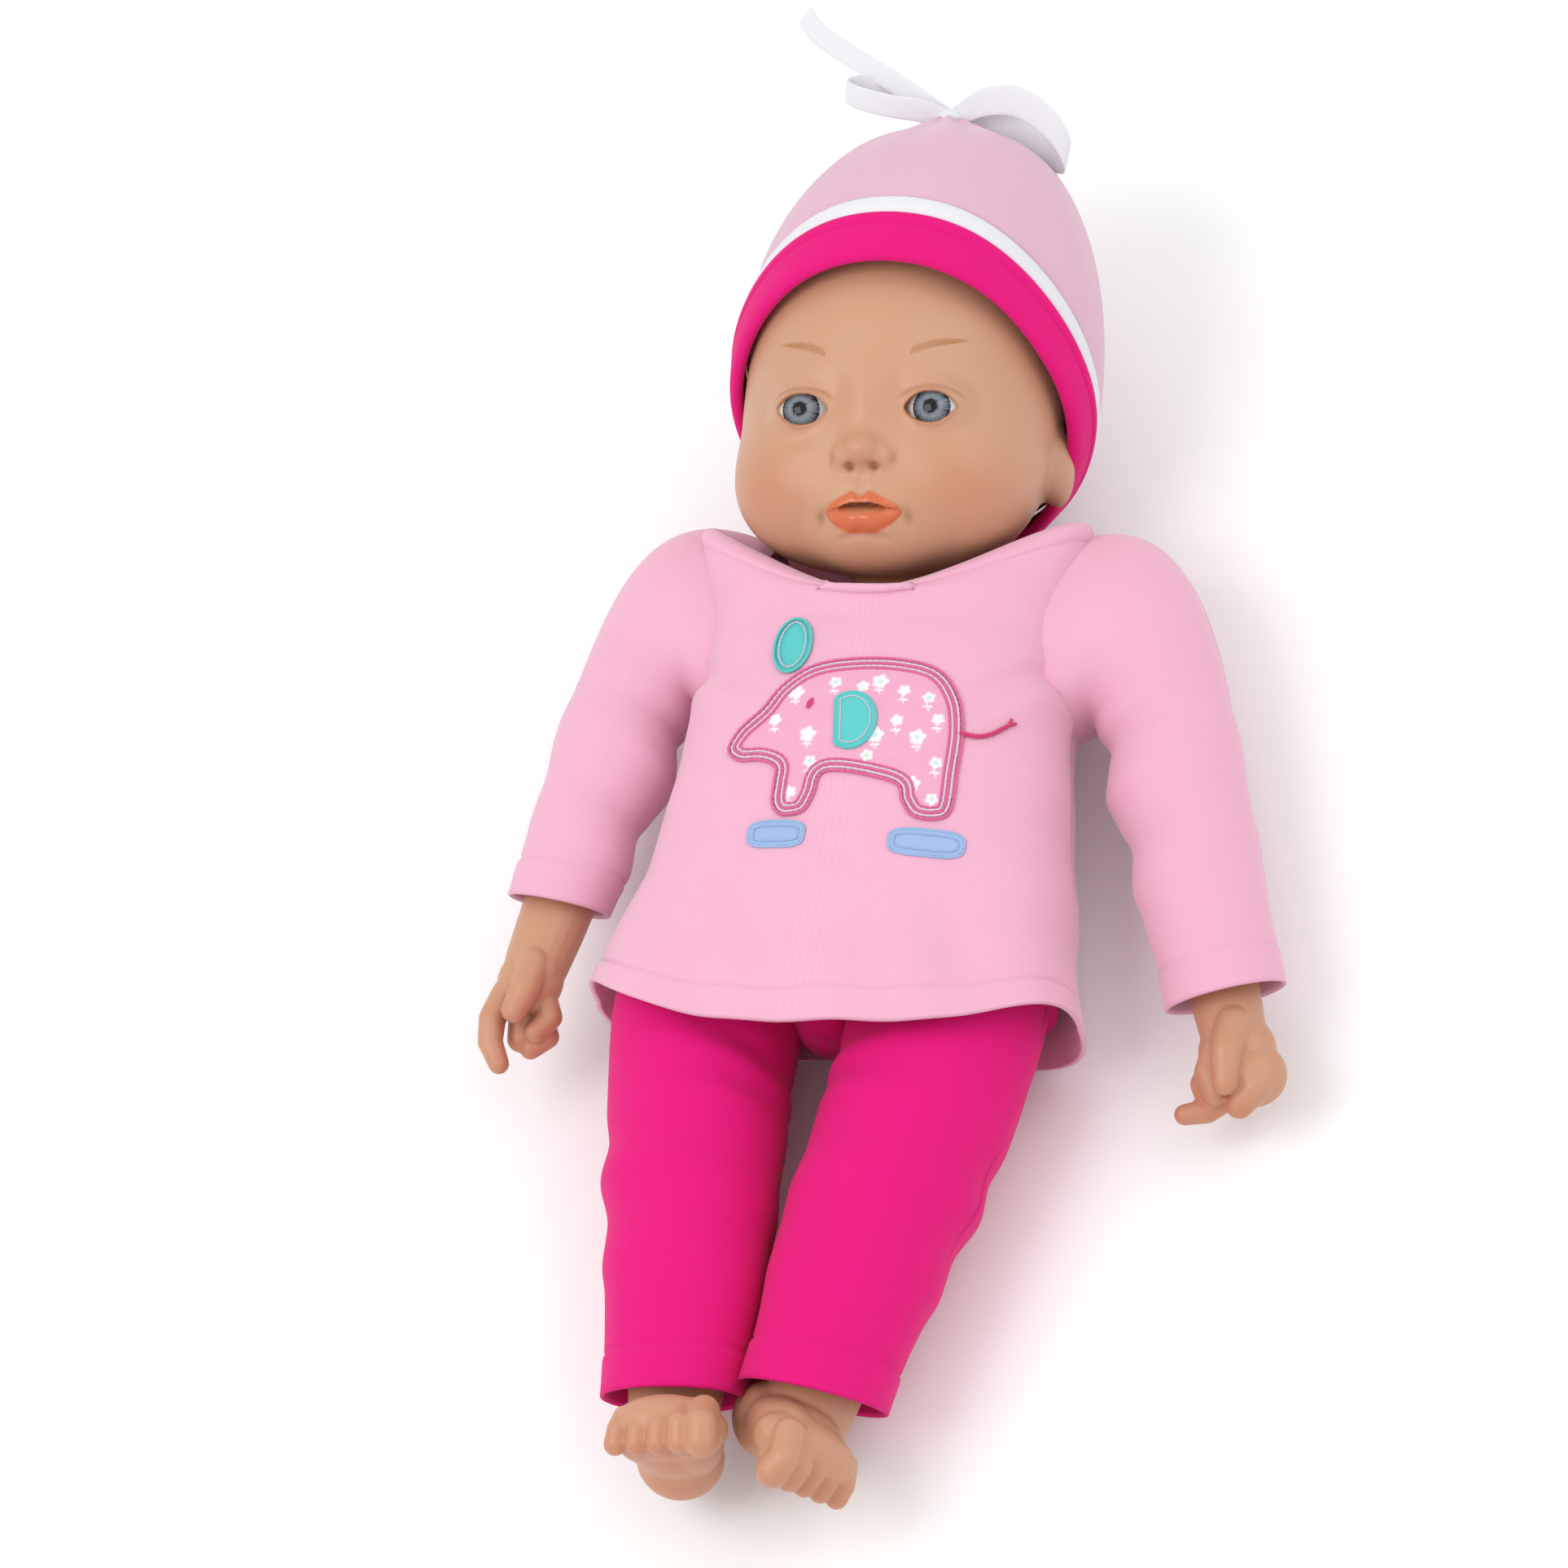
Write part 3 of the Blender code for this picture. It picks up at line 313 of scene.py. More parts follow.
def jersey(name, colour, deep, roughness=0.86, relief=0.00010, fuzz=0.35):
    """Columns of V-shaped loops: the height is a ridge across each column, slanted by the other way."""
    material, tree, shader = new_material(name)
    cloth = add(tree, "ShaderNodeUVMap", uv_map="cloth").outputs[0]
    parts = tree.nodes.new("ShaderNodeSeparateXYZ")
    tree.links.new(cloth, parts.inputs[0])
    across, along = parts.outputs[0], parts.outputs[1]
    column = math_node(tree, "MULTIPLY", across, 2 * math.pi / WALE)
    ridge = math_node(tree, "ABSOLUTE", math_node(tree, "SINE", math_node(tree, "MULTIPLY", column, 0.5)))
    slant = math_node(tree, "MULTIPLY", math_node(tree, "COSINE", column), 1.2)
    loops = math_node(
        tree,
        "SINE",
        math_node(tree, "ADD", math_node(tree, "MULTIPLY", along, 2 * math.pi / COURSE), slant),
    )
    weave = math_node(tree, "ADD", math_node(tree, "MULTIPLY", loops, 0.22), ridge)
    patches = noise(tree, 55.0, 4.0)
    lint = noise(tree, 900.0, 2.0)
    height = math_node(tree, "ADD", weave, math_node(tree, "MULTIPLY", lint, 0.9))
    # The colour is darker in the valleys between the loop columns, which is painted shade, and the noise patches
    # add a random tone.
    shade = math_node(tree, "MULTIPLY", math_node(tree, "SUBTRACT", 1.0, ridge), 0.12)
    shade = math_node(tree, "ADD", shade, math_node(tree, "MULTIPLY", patches, 0.16))
    tree.links.new(mix_colour(tree, shade, colour, deep), shader.inputs["Base Color"])
    bumps = add(tree, "ShaderNodeBump", Strength=0.55, Distance=relief)
    tree.links.new(height, bumps.inputs["Height"])
    tree.links.new(bumps.outputs[0], shader.inputs["Normal"])
    shader.inputs["Roughness"].default_value = roughness
    shader.inputs["Sheen Weight"].default_value = fuzz
    shader.inputs["Sheen Roughness"].default_value = 0.45
    shader.inputs["Specular IOR Level"].default_value = 0.25
    return material


PINK = jersey("pale_pink_jersey", (0.75, 0.395, 0.525), (0.60, 0.25, 0.37))
HOT_PINK = jersey("hot_pink_jersey", (0.69, 0.003, 0.178), (0.52, 0.001, 0.11), fuzz=0.06)
HAT_PINK = jersey("hat_jersey", (0.665, 0.41, 0.515), (0.52, 0.28, 0.38))
WHITE = jersey("white_jersey", (0.71, 0.71, 0.735), (0.60, 0.60, 0.64), fuzz=0.2)
print("four jerseys")


# %% The vinyl skin
def vinyl(name):
    """Tan plastic: blush and lip paint, and painted shade in the creases, come from the numbers shared by the
    mesh.
    """
    material, tree, shader = new_material(name)
    base = mix_colour(tree, noise(tree, 30.0, 3.0), (0.525, 0.295, 0.180), (0.490, 0.265, 0.155))
    blushed = mix_colour(tree, attribute(tree, "blush"), base, (0.480, 0.140, 0.075))
    # The crease mask mixes in a dark brown: painted shade in the face's creases and in the mouth opening.
    crease_shaded = mix_colour(tree, attribute(tree, "crease"), blushed, (0.235, 0.085, 0.040))
    painted = mix_colour(tree, attribute(tree, "lips"), crease_shaded, (0.560, 0.130, 0.045))
    tree.links.new(painted, shader.inputs["Base Color"])
    gloss = math_node(tree, "SUBTRACT", 0.40, math_node(tree, "MULTIPLY", attribute(tree, "lips"), 0.22))
    gloss = math_node(tree, "ADD", gloss, math_node(tree, "MULTIPLY", noise(tree, 260.0, 2.0), 0.06))
    tree.links.new(gloss, shader.inputs["Roughness"])
    bumps = add(tree, "ShaderNodeBump", Strength=0.12, Distance=0.0002)
    tree.links.new(noise(tree, 700.0, 2.0), bumps.inputs["Height"])
    tree.links.new(bumps.outputs[0], shader.inputs["Normal"])
    shader.inputs["Subsurface Weight"].default_value = 0.12
    shader.inputs["Subsurface Radius"].default_value = (0.006, 0.002, 0.001)
    shader.inputs["Subsurface Scale"].default_value = 0.5
    shader.inputs["Specular IOR Level"].default_value = 0.45
    return material


VINYL = vinyl("vinyl_skin")
print("vinyl ready")


# %% Plain moulded, woven and metal finishes for what lies inside the doll
def grained(name, colour, darker, roughness, metallic=0.0, scale=300.0, relief=0.0001):
    """A finish with a little colour variation, grain in its roughness and a fine bump."""
    material, tree, shader = new_material(name)
    grain = noise(tree, scale, 4.0)
    tree.links.new(mix_colour(tree, grain, colour, darker), shader.inputs["Base Color"])
    rough = math_node(tree, "ADD", math_node(tree, "MULTIPLY", grain, 0.12), roughness - 0.06)
    tree.links.new(rough, shader.inputs["Roughness"])
    bumps = add(tree, "ShaderNodeBump", Strength=0.3, Distance=relief)
    tree.links.new(grain, bumps.inputs["Height"])
    tree.links.new(bumps.outputs[0], shader.inputs["Normal"])
    shader.inputs["Metallic"].default_value = metallic
    return material


INSIDE = {
    "body_cloth": grained("body_cloth_weave", (0.70, 0.50, 0.38), (0.60, 0.41, 0.30), 0.9, scale=900.0),
    "fibre_fill": grained(
        "fibre_filling", (0.85, 0.85, 0.83), (0.75, 0.75, 0.72), 0.95, scale=120.0, relief=0.001
    ),
    "case_plastic": grained("case_plastic", (0.74, 0.74, 0.71), (0.68, 0.68, 0.65), 0.45),
    "tie_nylon": grained("tie_nylon", (0.72, 0.72, 0.70), (0.66, 0.66, 0.64), 0.4),
    "steel": grained("plated_steel", (0.58, 0.58, 0.60), (0.50, 0.50, 0.52), 0.32, 1.0),
    "cell_wrap": grained("cell_wrap", (0.06, 0.08, 0.14), (0.04, 0.05, 0.09), 0.35, 0.2),
    "board_green": grained("board_lacquer", (0.03, 0.22, 0.08), (0.02, 0.16, 0.06), 0.4),
    "cone_paper": grained("cone_paper", (0.04, 0.04, 0.04), (0.02, 0.02, 0.02), 0.85),
    "pink_plastic": grained("pink_plastic", (0.78, 0.20, 0.38), (0.70, 0.15, 0.32), 0.35),
}
slot_of = {part["node"]: part["material_slot"] for part in frame["record"]["subparts"]}
for node_name, node in frame["nodes"].items():
    if slot_of.get(node_name) in INSIDE:
        for cad_slot in node.material_slots:
            cad_slot.material = INSIDE[slot_of[node_name]]
print("refinished", sum(slot in INSIDE for slot in slot_of.values()), "nodes")

# %% [markdown]
# ## The head
# A rotocast vinyl head is one smooth skin: a big round skull, a face that is broad and low, full cheeks,
# a small chin, and a button nose. It could be sculpted, but a head can also be worked out. Seen from its
# middle, every direction meets the skin once, so the head is a distance along each direction: a function
# of a longitude and a latitude. The soft joining of a dozen ellipsoids gives the big forms. The lips,
# lids and creases are then small pushes in and out.

# %% The solids that make the head
EYE_CENTRES = {"right": np.array([-0.0225, -0.0100, 0.0425]), "left": np.array([0.0225, -0.0100, 0.0425])}
EYE_RADIUS = 0.0112
MOUTH_Y = -0.0448


def head_distance(p):
    """The distance outside the head's skin, from ellipsoids joined softly one after another."""
    d = ellipsoid(p, (0, 0.0090, -0.0050), (0.0555, 0.0600, 0.0580))
    d = soft_min(d, ellipsoid(p, (0, -0.0200, 0.0110), (0.0520, 0.0420, 0.0430)), 0.014)
    for side in (-1, 1):
        d = soft_min(d, ellipsoid(p, (side * 0.0245, -0.0330, 0.0270), (0.0250, 0.0225, 0.0240)), 0.014)
    d = soft_min(d, ellipsoid(p, (0, -0.0500, 0.0360), (0.0170, 0.0125, 0.0155)), 0.012)
    d = soft_min(d, ellipsoid(p, (0, -0.0400, 0.0430), (0.0170, 0.0130, 0.0120)), 0.009)
    d = soft_min(d, ellipsoid(p, (0, -0.0110, 0.0475), (0.0050, 0.0150, 0.0070)), 0.010)
    d = soft_min(d, ellipsoid(p, (0, -0.0245, 0.0555), (0.0062, 0.0056, 0.0070)), 0.005)
    for side in (-1, 1):
        d = soft_min(d, ellipsoid(p, (side * 0.0068, -0.0268, 0.0520), (0.0040, 0.0040, 0.0052)), 0.0035)
        lid = (
            np.linalg.norm(p - EYE_CENTRES["left" if side > 0 else "right"], axis=-1)
            - (EYE_RADIUS + 0.0011)
        )
        d = soft_min(d, lid, 0.0035)
        d = soft_min(d, ellipsoid(p, (side * 0.0535, -0.0230, -0.0030), (0.0055, 0.0125, 0.0085)), 0.005)
    across = np.hypot(p[..., 0], p[..., 2])
    neck = np.maximum(across - 0.0150, -0.0780 - p[..., 1])
    neck = np.maximum(neck, p[..., 1] + 0.03)
    return soft_min(d, neck, 0.006)


print("chin sticks out by", round(float(-head_distance(np.array([[0, -0.05, 0.0]]))[0]), 4))

# %% [markdown]
# The small forms are drawn on the face as seen from the front. Each lip is a band between two curves.
# An eye opening is the space between a lid that arches above and one that curves below.


# %% The lids and lips as curves
def lid_gap(x, y, side):
    """How far a point is inside the eye opening: positive inside, in metres."""
    u = (x - side * 0.0225) * side  # positive towards the ear
    v = y + 0.0100
    t = np.clip(np.abs(u + 0.0002) / 0.0090, 0, 1)
    top = 0.0057 * (1 - t**2.3) ** 0.75 - 0.0006
    low = -0.0053 * (1 - t**2.2) ** 0.80 - 0.0003 + 0.0007 * step(0.002, 0.009, u)
    return np.minimum(top - v, v - low) - 0.0035 * step(0.97, 1.15, np.abs(u + 0.0002) / 0.0090)


def lip_masks(x, y):
    """The painted lips and the gap between them: numbers from 0 to 1."""
    v = y - MOUTH_Y
    t = np.clip(np.abs(x) / 0.0132, 0, 1)
    edge = (1 - t**2.2) ** 0.72
    top = edge * (0.0055 + 0.0010 * bump(np.abs(x) - 0.0036, 0.0022) - 0.0009 * bump(x, 0.0016))
    low = -edge * (0.0078 - 0.0004 * bump(x, 0.0020))
    middle = 0.0011 * edge - 0.0009 * t**2
    inside = np.minimum(top - v, v - low)
    gap = 0.00160 * np.clip(1 - (x / 0.0082) ** 2, 0, 1) ** 0.7 - np.abs(v - middle)
    near, open_part = 1 - step(0.0126, 0.0138, np.abs(x)), 1 - step(0.0078, 0.0088, np.abs(x))
    return (
        step(-0.0002, 0.0003, inside) * near,
        step(-0.00025, 0.0002, gap) * open_part,
        v - middle,
        top,
        low,
        t,
    )


print("lid and lip helpers ready")

# %% The relief of the whole face
def face_relief(x, y, z):
    """How far each point of the face is pushed out, in metres."""
    front = step(0.012, 0.030, z)
    out = np.zeros_like(x)
    side = np.where(x > 0, 1.0, -1.0)
    u = np.abs(x) - 0.0225
    v = y + 0.0100
    out -= 0.0016 * bump(np.hypot((np.abs(x) - 0.0095) / 1.0, (y + 0.0060) / 1.5), 0.0060)
    out -= 0.0007 * bump(np.hypot(u / 1.6, v + 0.0100), 0.0032)
    crease = v - 0.0074 * np.clip(1 - (u / 0.0125) ** 2, 0, 1) ** 0.6
    out -= 0.0006 * bump(crease, 0.00055) * step(0.0118, 0.0085, np.abs(u))
    out += 0.0004 * bump(crease + 0.0016, 0.0009) * step(0.0118, 0.0085, np.abs(u))
    out += 0.0008 * bump(v - 0.0135, 0.0050) * bump(u, 0.014)
    opening = lid_gap(x, y, side)
    out += 0.0005 * bump(opening + 0.0004, 0.0006)
    out -= 0.0052 * step(-0.0001, 0.0005, opening)
    lips, gap, from_line, top, low, t = lip_masks(x, y)
    upper = np.clip(from_line / np.maximum(top, 1e-5), 0, 1)
    lower = np.clip(-from_line / np.maximum(-low, 1e-5), 0, 1)
    swell = np.where(
        from_line > 0,
        1.25 * np.sin(np.pi * np.clip(upper, 0, 1) ** 0.75),
        1.75 * np.sin(np.pi * lower**0.8),
    )
    out += 0.0010 * lips * swell * (1 - 0.55 * t**2)
    out += 0.0004 * bump(np.abs(x) - 0.0030, 0.0022) * np.where(from_line < 0, 1, 0.3) * lips
    out -= 0.0040 * gap
    out -= 0.0008 * bump(from_line, 0.00055) * step(0.0120, 0.0095, np.abs(x))
    out -= 0.0015 * bump(np.hypot((np.abs(x) - 0.0128) / 1.0, (from_line + 0.0006) / 1.3), 0.0021)
    out -= 0.0007 * bump(np.hypot((np.abs(x) - 0.0150), (from_line + 0.0030) / 2.2), 0.0016)
    out -= 0.0005 * bump(x, 0.0013) * bump(y + 0.0355, 0.0036)
    out += 0.0003 * bump(np.abs(x) - 0.0026, 0.0011) * bump(y + 0.0360, 0.0034)
    chin_line = y + 0.0543 - 0.0016 * np.clip(1 - (x / 0.0105) ** 2, 0, 1)
    out -= 0.0011 * bump(chin_line, 0.0011) * step(0.0120, 0.0040, np.abs(x))
    out -= 0.0026 * bump(np.hypot((np.abs(x) - 0.0042) / 1.45, (y + 0.0306 - 0.00 * x)), 0.0012)
    out -= 0.0007 * bump(np.hypot(np.abs(x) - 0.0108, (y + 0.0275) / 2.0), 0.0014)
    return out * front


print("lids and lips ready")

# %% Find the skin along every direction
def spread(count, low, high, centre, width, extra):
    """Angles from low to high that lie closer together around the centre, for detail there."""
    fine = np.linspace(low, high, 4000)
    density = 1 + extra * bump(fine - centre, width)
    total = np.concatenate([[0], np.cumsum((density[1:] + density[:-1]) / 2)])
    return np.interp(np.linspace(0, 1, count) * total[-1], total, fine)


def along(directions, distance, start=0.09, turns=60):
    """Walks in from outside along each direction until the distance to the solid is nothing."""
    reach = np.full(directions.shape[:-1], start)
    for _ in range(turns):
        reach = reach - 0.9 * distance(directions * reach[..., None])
        reach = np.clip(reach, 0.01, 0.12)
    return reach


longitude = spread(373, -math.pi, math.pi, 0.0, 0.75, 3.2)[:-1]
latitude = spread(238, -1.545, 1.545, -0.36, 0.52, 3.4)
lon, lat = np.meshgrid(longitude, latitude)
directions = np.stack([np.cos(lat) * np.sin(lon), np.sin(lat), np.cos(lat) * np.cos(lon)], axis=-1)
reach = along(directions, head_distance)
skin = directions * reach[..., None]
relief = face_relief(skin[..., 0], skin[..., 1], skin[..., 2])
skin = skin + directions * relief[..., None]

head = surface("head_shell_vinyl", from_head(skin), close_first=True, close_last=True)
x, y, z = skin[..., 0], skin[..., 1], skin[..., 2]
front = step(0.0, 0.02, z)
lips, gap, from_line, top, low, t = lip_masks(x, y)
side = np.where(x > 0, 1.0, -1.0)
opening = lid_gap(x, y, side)
u, v = np.abs(x) - 0.0225, y + 0.0100
cheek = bump(np.hypot((np.abs(x) - 0.0330) / 1.15, y + 0.0370), 0.0150)
blush = (
    0.42 * cheek
    + 0.20 * bump(np.hypot(x, y + 0.0250), 0.0080)
    + 0.22 * bump(np.hypot(x, y + 0.0560), 0.0100)
)
blush += 0.22 * bump(opening, 0.0020) + 0.14 * bump(np.hypot(np.abs(x) - 0.010, y + 0.008), 0.0080)
share(head, "blush", np.clip(blush * front, 0, 1))
# The crease mask is painted shade. It puts a dark brown in the lid crease, round the eye openings, in the
# nostrils, beside the nose wings, at the mouth corners, along the chin line and in the gap between the lips.
lid_line = v - 0.0074 * np.clip(1 - (u / 0.0125) ** 2, 0, 1) ** 0.6
crease = 0.35 * bump(lid_line, 0.0005) * step(0.0118, 0.0080, np.abs(u))
crease += 0.55 * bump(opening + 0.0001, 0.00035)
crease += 0.75 * bump(np.hypot((np.abs(x) - 0.0042) / 1.45, y + 0.0306), 0.0011)
crease += 0.30 * bump(np.hypot(np.abs(x) - 0.0108, (y + 0.0275) / 2.0), 0.0010)
crease += 0.50 * bump(np.hypot(np.abs(x) - 0.0150, (from_line + 0.0008) / 1.5), 0.0016)
crease += (
    0.35 * bump(y + 0.0543 - 0.0016 * np.clip(1 - (x / 0.0105) ** 2, 0, 1), 0.0007) * step(
        0.0115, 0.0030, np.abs(x)
    )
)
share(head, "crease", np.clip(np.maximum(crease, 0.97 * gap) * front, 0, 1))
share(head, "lips", np.clip(lips * (1 - gap) * front, 0, 1))
dressed(head, VINYL, "vinyl_skin", "head", "head_shell")
print("head:", len(head.data.polygons), "faces,", np.round(skin.reshape(-1, 3).max(0), 4), "largest")

# %% [markdown]
# ## The eyes
# Acrylic doll eyes are clear domes over a printed iris: grey-blue, with fine rays, a dark rim and a black
# pupil. The eyeball is a ball whose rows run round the direction of its gaze, so that the iris is crisp.
# Its map holds the distance from the gaze line, and the rays are noise read on a circle.


# %% The acrylic eye's material
def acrylic_eye():
    """Rings of colour by distance from the pupil's middle, with rays from noise."""
    material, tree, shader = new_material("acrylic_eye")
    place = add(tree, "ShaderNodeUVMap", uv_map="cloth").outputs[0]
    length = tree.nodes.new("ShaderNodeVectorMath")
    length.operation = "LENGTH"
    tree.links.new(place, length.inputs[0])
    unit = tree.nodes.new("ShaderNodeVectorMath")
    unit.operation = "NORMALIZE"
    tree.links.new(place, unit.inputs[0])
    rays = noise(tree, 9.0, 5.0, vector=unit.outputs[0])
    flecks = noise(tree, 700.0, 3.0, vector=place)
    wobble = math_node(tree, "MULTIPLY", math_node(tree, "SUBTRACT", rays, 0.5), 0.0009)
    ring = math_node(tree, "ADD", length.outputs["Value"], wobble)
    ramp = tree.nodes.new("ShaderNodeValToRGB")
    tree.links.new(math_node(tree, "DIVIDE", ring, 0.0080), ramp.inputs["Fac"])
    stops = (
        (0.000, (0.003, 0.003, 0.004)),
        (0.290, (0.003, 0.003, 0.004)),
        (0.330, (0.08, 0.088, 0.10)),
        (0.420, (0.19, 0.215, 0.245)),
        (0.560, (0.10, 0.120, 0.145)),
        (0.660, (0.030, 0.038, 0.050)),
        (0.740, (0.012, 0.014, 0.018)),
        (0.790, (0.05, 0.05, 0.06)),
        (0.830, (0.60, 0.59, 0.58)),
        (1.000, (0.68, 0.65, 0.63)),
    )
    ramp.color_ramp.elements[0].position, ramp.color_ramp.elements[0].color = stops[0][0], (*stops[0][1], 1)
    ramp.color_ramp.elements[1].position, ramp.color_ramp.elements[1].color = stops[-1][0], (*stops[-1][1], 1)
    for position, colour in stops[1:-1]:
        ramp.color_ramp.elements.new(position).color = (*colour, 1)
    streaks = math_node(tree, "MULTIPLY", math_node(tree, "SUBTRACT", rays, 0.38), 2.2)
    inside = math_node(tree, "LESS_THAN", length.outputs["Value"], 0.0058)
    beyond = math_node(tree, "GREATER_THAN", length.outputs["Value"], 0.0023)
    amount = math_node(tree, "MULTIPLY", math_node(tree, "MULTIPLY", inside, beyond), streaks)
    bright = mix_colour(tree, amount, ramp.outputs["Color"], (0.27, 0.30, 0.33))
    dark = math_node(tree, "MULTIPLY", math_node(tree, "MULTIPLY", inside, flecks), 0.22)
    tree.links.new(mix_colour(tree, dark, bright, (0.04, 0.05, 0.07)), shader.inputs["Base Color"])
    shader.inputs["Roughness"].default_value = 0.06
    shader.inputs["Coat Weight"].default_value = 0.25
    shader.inputs["Coat Roughness"].default_value = 0.02
    shader.inputs["Specular IOR Level"].default_value = 0.15
    return material


EYE = acrylic_eye()
print("the eye material has", len(EYE.node_tree.nodes), "nodes")

# %% Two eyeballs
for word, centre in EYE_CENTRES.items():
    away = np.concatenate([np.linspace(0.004, 0.62, 46), np.linspace(0.66, 3.1, 30)])
    turn = np.linspace(0, 2 * math.pi, 97)[:-1]
    a, b = np.meshgrid(away, turn, indexing="ij")
    dome = EYE_RADIUS + 0.0005 * bump(a, 0.42)
    ball = np.stack([np.sin(a) * np.cos(b), np.sin(a) * np.sin(b), np.cos(a)], axis=-1) * dome[..., None]
    from_gaze = ball[..., :2].copy()
    from_gaze[a > 1.5] = from_gaze[a > 1.5] * 0 + 0.0112
    eyeball = surface(
        f"eyeball_{word}", from_head(ball + centre), close_first=True, close_last=True, uv=from_gaze
    )
    dressed(eyeball, EYE, "eye_acrylic", "head", f"eye_{word}")
    print("eyeball", word, len(eyeball.data.polygons), "faces")

# %% [markdown]
# ## The hat
# The hat is an egg that leans to the doll's left as it rises. A slanted plane cuts it, and the brim, the
# white strip and the crown are bands at growing distances from that plane.


# %% The egg under the hat
BRIM_NORMAL = np.array([0.030, 0.684, -0.726]) / np.linalg.norm([0.030, 0.684, -0.726])
BRIM_LINE = -0.0110


def egg(alpha, phi):
    """(a w cos alpha, b cos phi, c w sin alpha), where w = sin(phi)^0.8 above, pushed sideways by 0.8 y^2."""
    y = 0.009 + np.where(np.cos(phi) > 0, 0.086, 0.0638) * np.cos(phi)
    wide = np.where(phi < math.pi / 2, np.abs(np.sin(phi)) ** 0.80, np.sin(phi))
    x = 0.0045 + 0.0619 * wide * np.cos(alpha) + 0.8 * np.maximum(0, y) ** 2
    z = -0.005 + 0.0614 * wide * np.sin(alpha)
    return np.stack([x, y, z + 0 * y], axis=-1)


def egg_out(alpha, phi):
    """The direction away from the egg: each coordinate over its radius, made one long."""
    b = np.where(np.cos(phi) > 0, 0.086, 0.0638)
    out = np.stack(
        [np.sin(phi) * np.cos(alpha) / 0.0619, np.cos(phi) / b, np.sin(phi) * np.sin(alpha) / 0.0614],
        axis=-1,
    )
    return out / np.linalg.norm(out, axis=-1, keepdims=True)


def egg_angle(alpha, distance):
    """The phi where the egg is this far from the plane, found by halving the range forty times."""
    low, high = np.zeros_like(alpha), np.full_like(alpha, math.pi)
    for _ in range(40):
        middle = (low + high) / 2
        above = egg(alpha, middle) @ BRIM_NORMAL - BRIM_LINE > distance
        low, high = np.where(above, middle, low), np.where(above, high, middle)
    return (low + high) / 2


def facing(table, outside=None):
    """True when a table's faces look inwards: across x along, against the way out of each row."""
    across = np.roll(table, -1, axis=1) - table
    along_rows = table[1:] - table[:-1]
    normal = np.cross(across[:-1, :-1], along_rows[:, :-1])
    away = (
        (table - table.mean(axis=1, keepdims=True))[:-1, :-1]
        if outside is None
        else np.asarray(outside, float)
    )
    return float((normal * away).sum()) < 0


def pinch(alpha, distance):
    """How far the edge is drawn in on the doll's left, where the hat is loose: a bell fading up the hat."""
    turn = np.mod(alpha - 0.45 + math.pi, 2 * math.pi) - math.pi
    return -0.0052 * bump(turn, 0.75) * (1 - step(0.0, 0.050, distance))


def band(name, alpha, distances, heights, extra=0.0):
    """A ring of cloth round the egg: row i lies at distances[i] from the plane, heights[i] off the egg."""
    a, d = np.meshgrid(alpha, distances)
    _, h = np.meshgrid(alpha, heights)
    phi = egg_angle(a, d)
    table = egg(a, phi) + egg_out(a, phi) * (h + extra + pinch(a, d))[..., None]
    length = np.concatenate([[0], np.cumsum(np.hypot(np.diff(distances), np.diff(heights)))])
    uv = np.stack([a * 0.060, np.broadcast_to(length[:, None], a.shape)], axis=-1)
    table = from_head(table)
    return surface(name, table, uv=uv, flip=facing(table)), a, d


ALPHA = np.linspace(0, 2 * math.pi, 260, endpoint=False)
around = ALPHA[None, :]
print("the egg is", round(float(np.ptp(egg(ALPHA, np.full_like(ALPHA, 1.57))[:, 0])) * 1000), "mm wide")

# %% [markdown]
# The brim is a strip folded up round the edge of the cap and held by a row of stitches. A torus would
# be too even, so a profile is carried round the cap: each row has its distance from the edge and its
# height off the cap, and the dip between two rows is the stitch line.

# %% The turned-up brim, with its row of stitches
profile = np.array([
    (0.0150, -0.0006), (0.0100, -0.0006), (0.0050, -0.0005), (0.0014, -0.0004), (0.0000, 0.0002),
    (-0.0007, 0.0014),
    (-0.0005, 0.0028), (0.0006, 0.0038), (0.0022, 0.0042), (0.0040, 0.0042), (0.0060, 0.0041),
    (0.0080, 0.0040),
    (0.0094, 0.0040), (0.0099, 0.0038), (0.0103, 0.0035), (0.0107, 0.0038), (0.0112, 0.0041),
    (0.0128, 0.0042),
    (0.0138, 0.0039), (0.0143, 0.0030), (0.0144, 0.0016),
])
wobble = 0.0003 * np.sin(3 * around + 1.0) + 0.0002 * np.sin(7 * around)
brim, _, _ = band(
    "brim_cloth", ALPHA, profile[:, 0], profile[:, 1], np.broadcast_to(wobble, (len(profile), len(ALPHA)))
)
dressed(brim, HOT_PINK, "hot_pink_jersey", "head", "hat_brim")
print("the brim has", len(profile), "rows")

# %% [markdown]
# A strip of white jersey is sewn in above the brim. It could be painted on, but cloth with a thickness
# catches light along its edges.

# %% The white strip
strip_rows = np.linspace(0.0136, 0.0204, 11)
strip_lift = 0.0020 + 0.0014 * np.sin(np.linspace(0.25, 0.92, 11) * math.pi)
strip, _, _ = band("strip_cloth", ALPHA, strip_rows, strip_lift, np.broadcast_to(wobble, (11, len(ALPHA))))
dressed(thicken(strip, 0.0008), WHITE, "white_jersey", "head", "hat_piping")
print("the strip is", round(float(np.ptp(strip_rows)) * 1000, 1), "mm wide")

